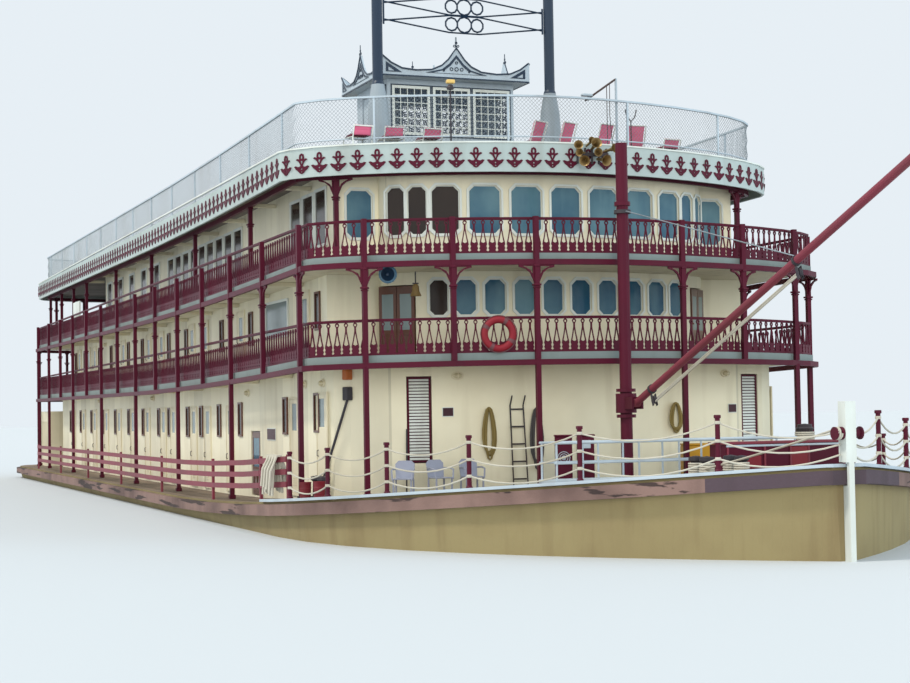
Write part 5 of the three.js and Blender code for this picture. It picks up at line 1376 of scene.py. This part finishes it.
locker = joined(block((0.9, 0.45, 1.0), at=(0, 0, 0.56), bevel=0.03),
                block((0.94, 0.49, 0.05), at=(0, 0, 1.08), bevel=0.012),
                block((0.8, 0.35, 0.06), at=(0, 0, 0.03)),
                block((0.12, 0.03, 0.05), at=(0, 0.23, 0.8), bevel=0.006))
piece("yellow_locker", [(locker, [place(11.0, 2.85, main_deck(10.6) + 0.005, -0.3)])], YELLOW)

# %% [markdown]
# The steel chest by the bow has a pale lid edge, welded ribs, one bright panel and a blank plate.
# Two drums stand in the side passage, a bundle of line is thrown over the end of the plank rail, and
# a mooring line is made fast from the bitts to the roller.

# %% Chest trim, drums and made-fast lines
CHEST_FACE = STEM - 6.95 + 0.375
PLANK_START, PLANK_HALF, PLANK_TOP = 14.6, 8.02, 1.11
chest_foot = main_deck(6.45) + 0.01
ribs = [block((0.03, 0.05, 0.8), at=(CHEST_FACE + 0.016, y, chest_foot + 0.42), bevel=0.006)
        for y in (1.15, 2.15, 2.86, 3.36, 4.35)]
rim = block((0.03, 3.28, 0.05), at=(CHEST_FACE + 0.016, 2.75, chest_foot + 0.845), bevel=0.008)
panel = block((0.02, 0.44, 0.76), at=(CHEST_FACE + 0.011, 3.11, chest_foot + 0.42), bevel=0.004)
sign = block((0.014, 0.5, 0.3), at=(CHEST_FACE + 0.008, 1.8, chest_foot + 0.46), bevel=0.003)
piece("chest_trim", [(joined(*ribs), None), (rim, None), (panel, None), (sign, None)],
      [ROSE, GREY_WHITE, RED, RED])
drum = lathe([(0, 0), (0.14, 0), (0.14, 0.015), (0.134, 0.03), (0.138, 0.14), (0.147, 0.15), (0.139, 0.16),
              (0.143, 0.28), (0.152, 0.29), (0.144, 0.3), (0.147, 0.41), (0.153, 0.42), (0.153, 0.44),
              (0.14, 0.44), (0.14, 0.425), (0, 0.425)], 20)
drums = [place(aft, y, main_deck(aft - 0.2) + 0.005, 0) for aft, y in ((11.8, -7.62), (11.17, -7.45))]
piece("red_drums", [(drum, drums)], RED, smooth=35)
bundle = []
for index in range(12):
    x, spread = index * 0.08 - 0.44, 0.1 + 0.06 * (index % 3)
    drop = 0.85 + 0.12 * math.sin(index * 2.3)
    bundle.append(tube([(x + 0.03, -spread - 0.05, -drop), (x, -spread, -drop * 0.4), (x, -0.05, 0.03),
                        (x, 0.05, 0.03), (x, spread, -drop * 0.5), (x - 0.03, spread + 0.03, -drop * 0.9),
                        (x - 0.05, spread + 0.01, -drop * 0.6)], 0.035, 1))
rail_ends = []
for side in SIDES:
    fore, aft = (PLANK_START - 2.4, PLANK_START - 0.05)
    for rise in (0.35, 0.66, 0.97):
        corners = [(STEM - x, side * (min(PLANK_HALF, edge_half(x) - 0.08) + out), main_deck(x) + rise + up)
                   for x, out, up in ((aft, 0.02, 0), (aft, -0.02, 0), (aft, -0.02, 0.14),
                                      (aft, 0.02, 0.14), (fore, 0.02, 0), (fore, -0.02, 0),
                                      (fore, -0.02, 0.14), (fore, 0.02, 0.14))]
        sides_of = [(0, 1, 2, 3), (7, 6, 5, 4), (0, 4, 5, 1), (1, 5, 6, 2), (2, 6, 7, 3), (3, 7, 4, 0)]
        rail_ends.append((np.array(corners), sides_of if side > 0 else [face[::-1] for face in sides_of]))
    leg_y = side * (edge_half(fore) - 0.14)
    rail_ends.append(block((0.09, 0.07, 1.14), at=(STEM - fore - 0.05, leg_y, main_deck(fore) + 0.58),
                           bevel=0.008))
piece("plank_rail_ends", [(joined(*rail_ends), None)], ROSE)
HUNG = PLANK_START - 1.5
over_rail = [place(HUNG, -edge_half(HUNG) + 0.08, main_deck(HUNG) + PLANK_TOP + 0.012, math.pi / 2)]
piece("rope_bundle", [(joined(*bundle), over_rail)], ROPE)
bitt_head = (STEM - 5.6 + 0.25, -0.1, main_deck(5.15) + 0.3)
roller_at = (STEM + 0.09, -0.27, DRAUGHT + 2.6)
mooring = slung((bitt_head[0] + 0.12, bitt_head[1] - 0.1, bitt_head[2]), roller_at, 0.03, 0.024)
coil = [(STEM + 0.09 + 0.112 * math.cos(t), -0.28 + 0.004 * index, DRAUGHT + 2.52 + 0.112 * math.sin(t))
        for index, t in enumerate(turn_steps(12, 25))]
piece("mooring_lines", [(mooring, None), (tube(coil, 0.022, 1), None)], ROPE)

# %% [markdown]
# The boom is held by a topping lift from the masthead, and its hoist runs along its underside to a
# block at the heel. The lift turns with the swivel, and the hoist rides the boom itself.

# %% Rigging of the boom
MAST_X = STEM - 9.5
MASTHEAD_Z = DRAUGHT + 7.95
HEEL = Vector((MAST_X + 0.55, 0, DRAUGHT + 3.19))
BOOM_SLOPE = math.radians(21.4)
boom_way = Vector((math.cos(BOOM_SLOPE), 0, math.sin(BOOM_SLOPE)))
boom_down = Vector((math.sin(BOOM_SLOPE), 0, -math.cos(BOOM_SLOPE)))


def on_boom(length, below=0.0, side=0.0):
    spot = HEEL + boom_way * length + boom_down * below
    return (spot.x, side, spot.z)


masthead = (MAST_X + 0.2, 0, MASTHEAD_Z)
lift = tube([masthead, on_boom(7.9, -0.1)], 0.014, 1)
band = fretwork([ring(0.21, sides=16), ring(0.178, sides=16)], 0.09)
masthead_band = moved(band, shift(MAST_X, 0, MASTHEAD_Z) @ spin(math.pi / 2, "X"))
piece("topping_lift", [(lift, None), (masthead_band, None)], [SILVER, IRON], body="swivel")
grooved = lathe([(0.03, -0.03), (0.1, -0.03), (0.085, 0), (0.1, 0.03), (0.03, 0.03)], 16,
                turn=(math.pi / 2, 0, 0))
sheave = joined(grooved, *[block((0.1, 0.015, 0.3), at=(0, y, 0), bevel=0.01) for y in (0.05, -0.05)])
boom_band = moved(fretwork([ring(0.115, sides=14), ring(0.092, sides=14)], 0.07), spin(math.pi / 2, "Z"))
leaned = spin(-BOOM_SLOPE, "Y")
bands = [shift(*on_boom(length)) @ leaned for length in (0.9, 7.9, 12.6)]
hoist = joined(tube([on_boom(0.95, 0.34), on_boom(7.85, 0.3)], 0.022, 1),
               tube([on_boom(0.95, 0.26, 0.05), on_boom(7.85, 0.22, 0.05)], 0.022, 1))
sheaves = [shift(*on_boom(length, 0.28)) @ leaned for length in (0.9, 7.9)]
piece("boom_tackle", [(sheave, sheaves), (boom_band, bands), (hoist, None)], [IRON, IRON, ROPE],
      body="boom_pole")

# %% [markdown]
# Beams run athwart under the upper decks from the houses to the veranda posts. They are plain
# timbers with softened edges, and show as pale bars in the soffit.

# %% Veranda beams
beams = []
for tier, house, edge, level in ((1, 6.53, 7.36, BEAM_2), (2, 6.2, 7.36, BEAM_3), (3, 5.95, 6.75, FASCIA)):
    reach = edge - house - 0.02
    timber = block((0.09, reach, 0.12), at=(0, -reach / 2, 0.08), bevel=0.015)
    for aft in sides:
        if HOUSE_FRONT < aft < HOUSE_END[tier]:
            beams.append((timber, [place(aft + 0.2, side * edge, upper(level)(aft), side_facing(side))
                                   for side in SIDES]))
piece("veranda_beams", beams, CREAM)

# %% [markdown]
# The ship stands in a pale studio whose floor is at her waterline. The camera is where the photo was
# taken from: ahead, to starboard and low, with a long lens.

# %% Studio and camera
floor_paint = bpy.data.materials.new("studio_floor")
floor_paint.use_nodes = True
floor_paint.node_tree.nodes["Principled BSDF"].inputs["Base Color"].default_value = linear(196, 202, 206)
floor_paint.node_tree.nodes["Principled BSDF"].inputs["Roughness"].default_value = 0.8
bpy.ops.mesh.primitive_plane_add(size=400, location=(0, 0, DRAUGHT * MODEL))
studio_floor = bpy.context.object
studio_floor.name = "studio_floor"
studio_floor.data.materials.append(floor_paint)

world = bpy.data.worlds.new("studio")
bpy.context.scene.world = world
world.use_nodes = True
world.node_tree.nodes["Background"].inputs["Color"].default_value = linear(226, 234, 240)
world.node_tree.nodes["Background"].inputs["Strength"].default_value = 1.05


def sun(name, strength, colour, azimuth, elevation, softness):
    """azimuth is where the light comes from, counted from forward toward port, in degrees."""
    data = bpy.data.lights.new(name, "SUN")
    data.energy = strength
    data.color = colour
    data.angle = math.radians(softness)
    lamp = bpy.data.objects.new(name, data)
    bpy.context.collection.objects.link(lamp)
    a, e = math.radians(azimuth), math.radians(elevation)
    toward = Vector((math.cos(a) * math.cos(e), math.sin(a) * math.cos(e), math.sin(e)))
    lamp.rotation_euler = toward.to_track_quat("Z", "Y").to_euler()
    return lamp


sun("key", 1.9, (1.0, 0.94, 0.84), -96, 52, 8)
sun("fill", 1.95, (1.0, 0.97, 0.9), -16, 6, 45).visible_glossy = False
sun("sky", 0.9, (0.6, 0.84, 1.0), 66, 18, 40).visible_glossy = False

CAMERA_AT = Vector((31.5435, -9.876, 2.1015))
YAW, PITCH, ROLL = math.radians(21.279), math.radians(2.151), math.radians(-0.945)
ahead = Vector((-math.cos(YAW), math.sin(YAW), 0))
right = Vector((math.sin(YAW), math.cos(YAW), 0))
up = Vector((0, 0, 1))
looking = ahead * math.cos(PITCH) + up * math.sin(PITCH)
level_up = up * math.cos(PITCH) - ahead * math.sin(PITCH)
camera_right = right * math.cos(ROLL) + level_up * math.sin(ROLL)
camera_up = level_up * math.cos(ROLL) - right * math.sin(ROLL)
turned = Matrix((camera_right, camera_up, -looking)).transposed().to_4x4()
camera_data = bpy.data.cameras.new("camera")
camera_data.lens = 69.46
camera_data.sensor_width = 36
camera_data.clip_end = 500
camera = bpy.data.objects.new("camera", camera_data)
bpy.context.collection.objects.link(camera)
camera.matrix_world = Matrix.Translation(CAMERA_AT) @ turned
bpy.context.scene.camera = camera
bpy.context.scene.view_settings.view_transform = "Standard"

# %% Sizes, and the end
print("triangles in all", sum(counts.values()))
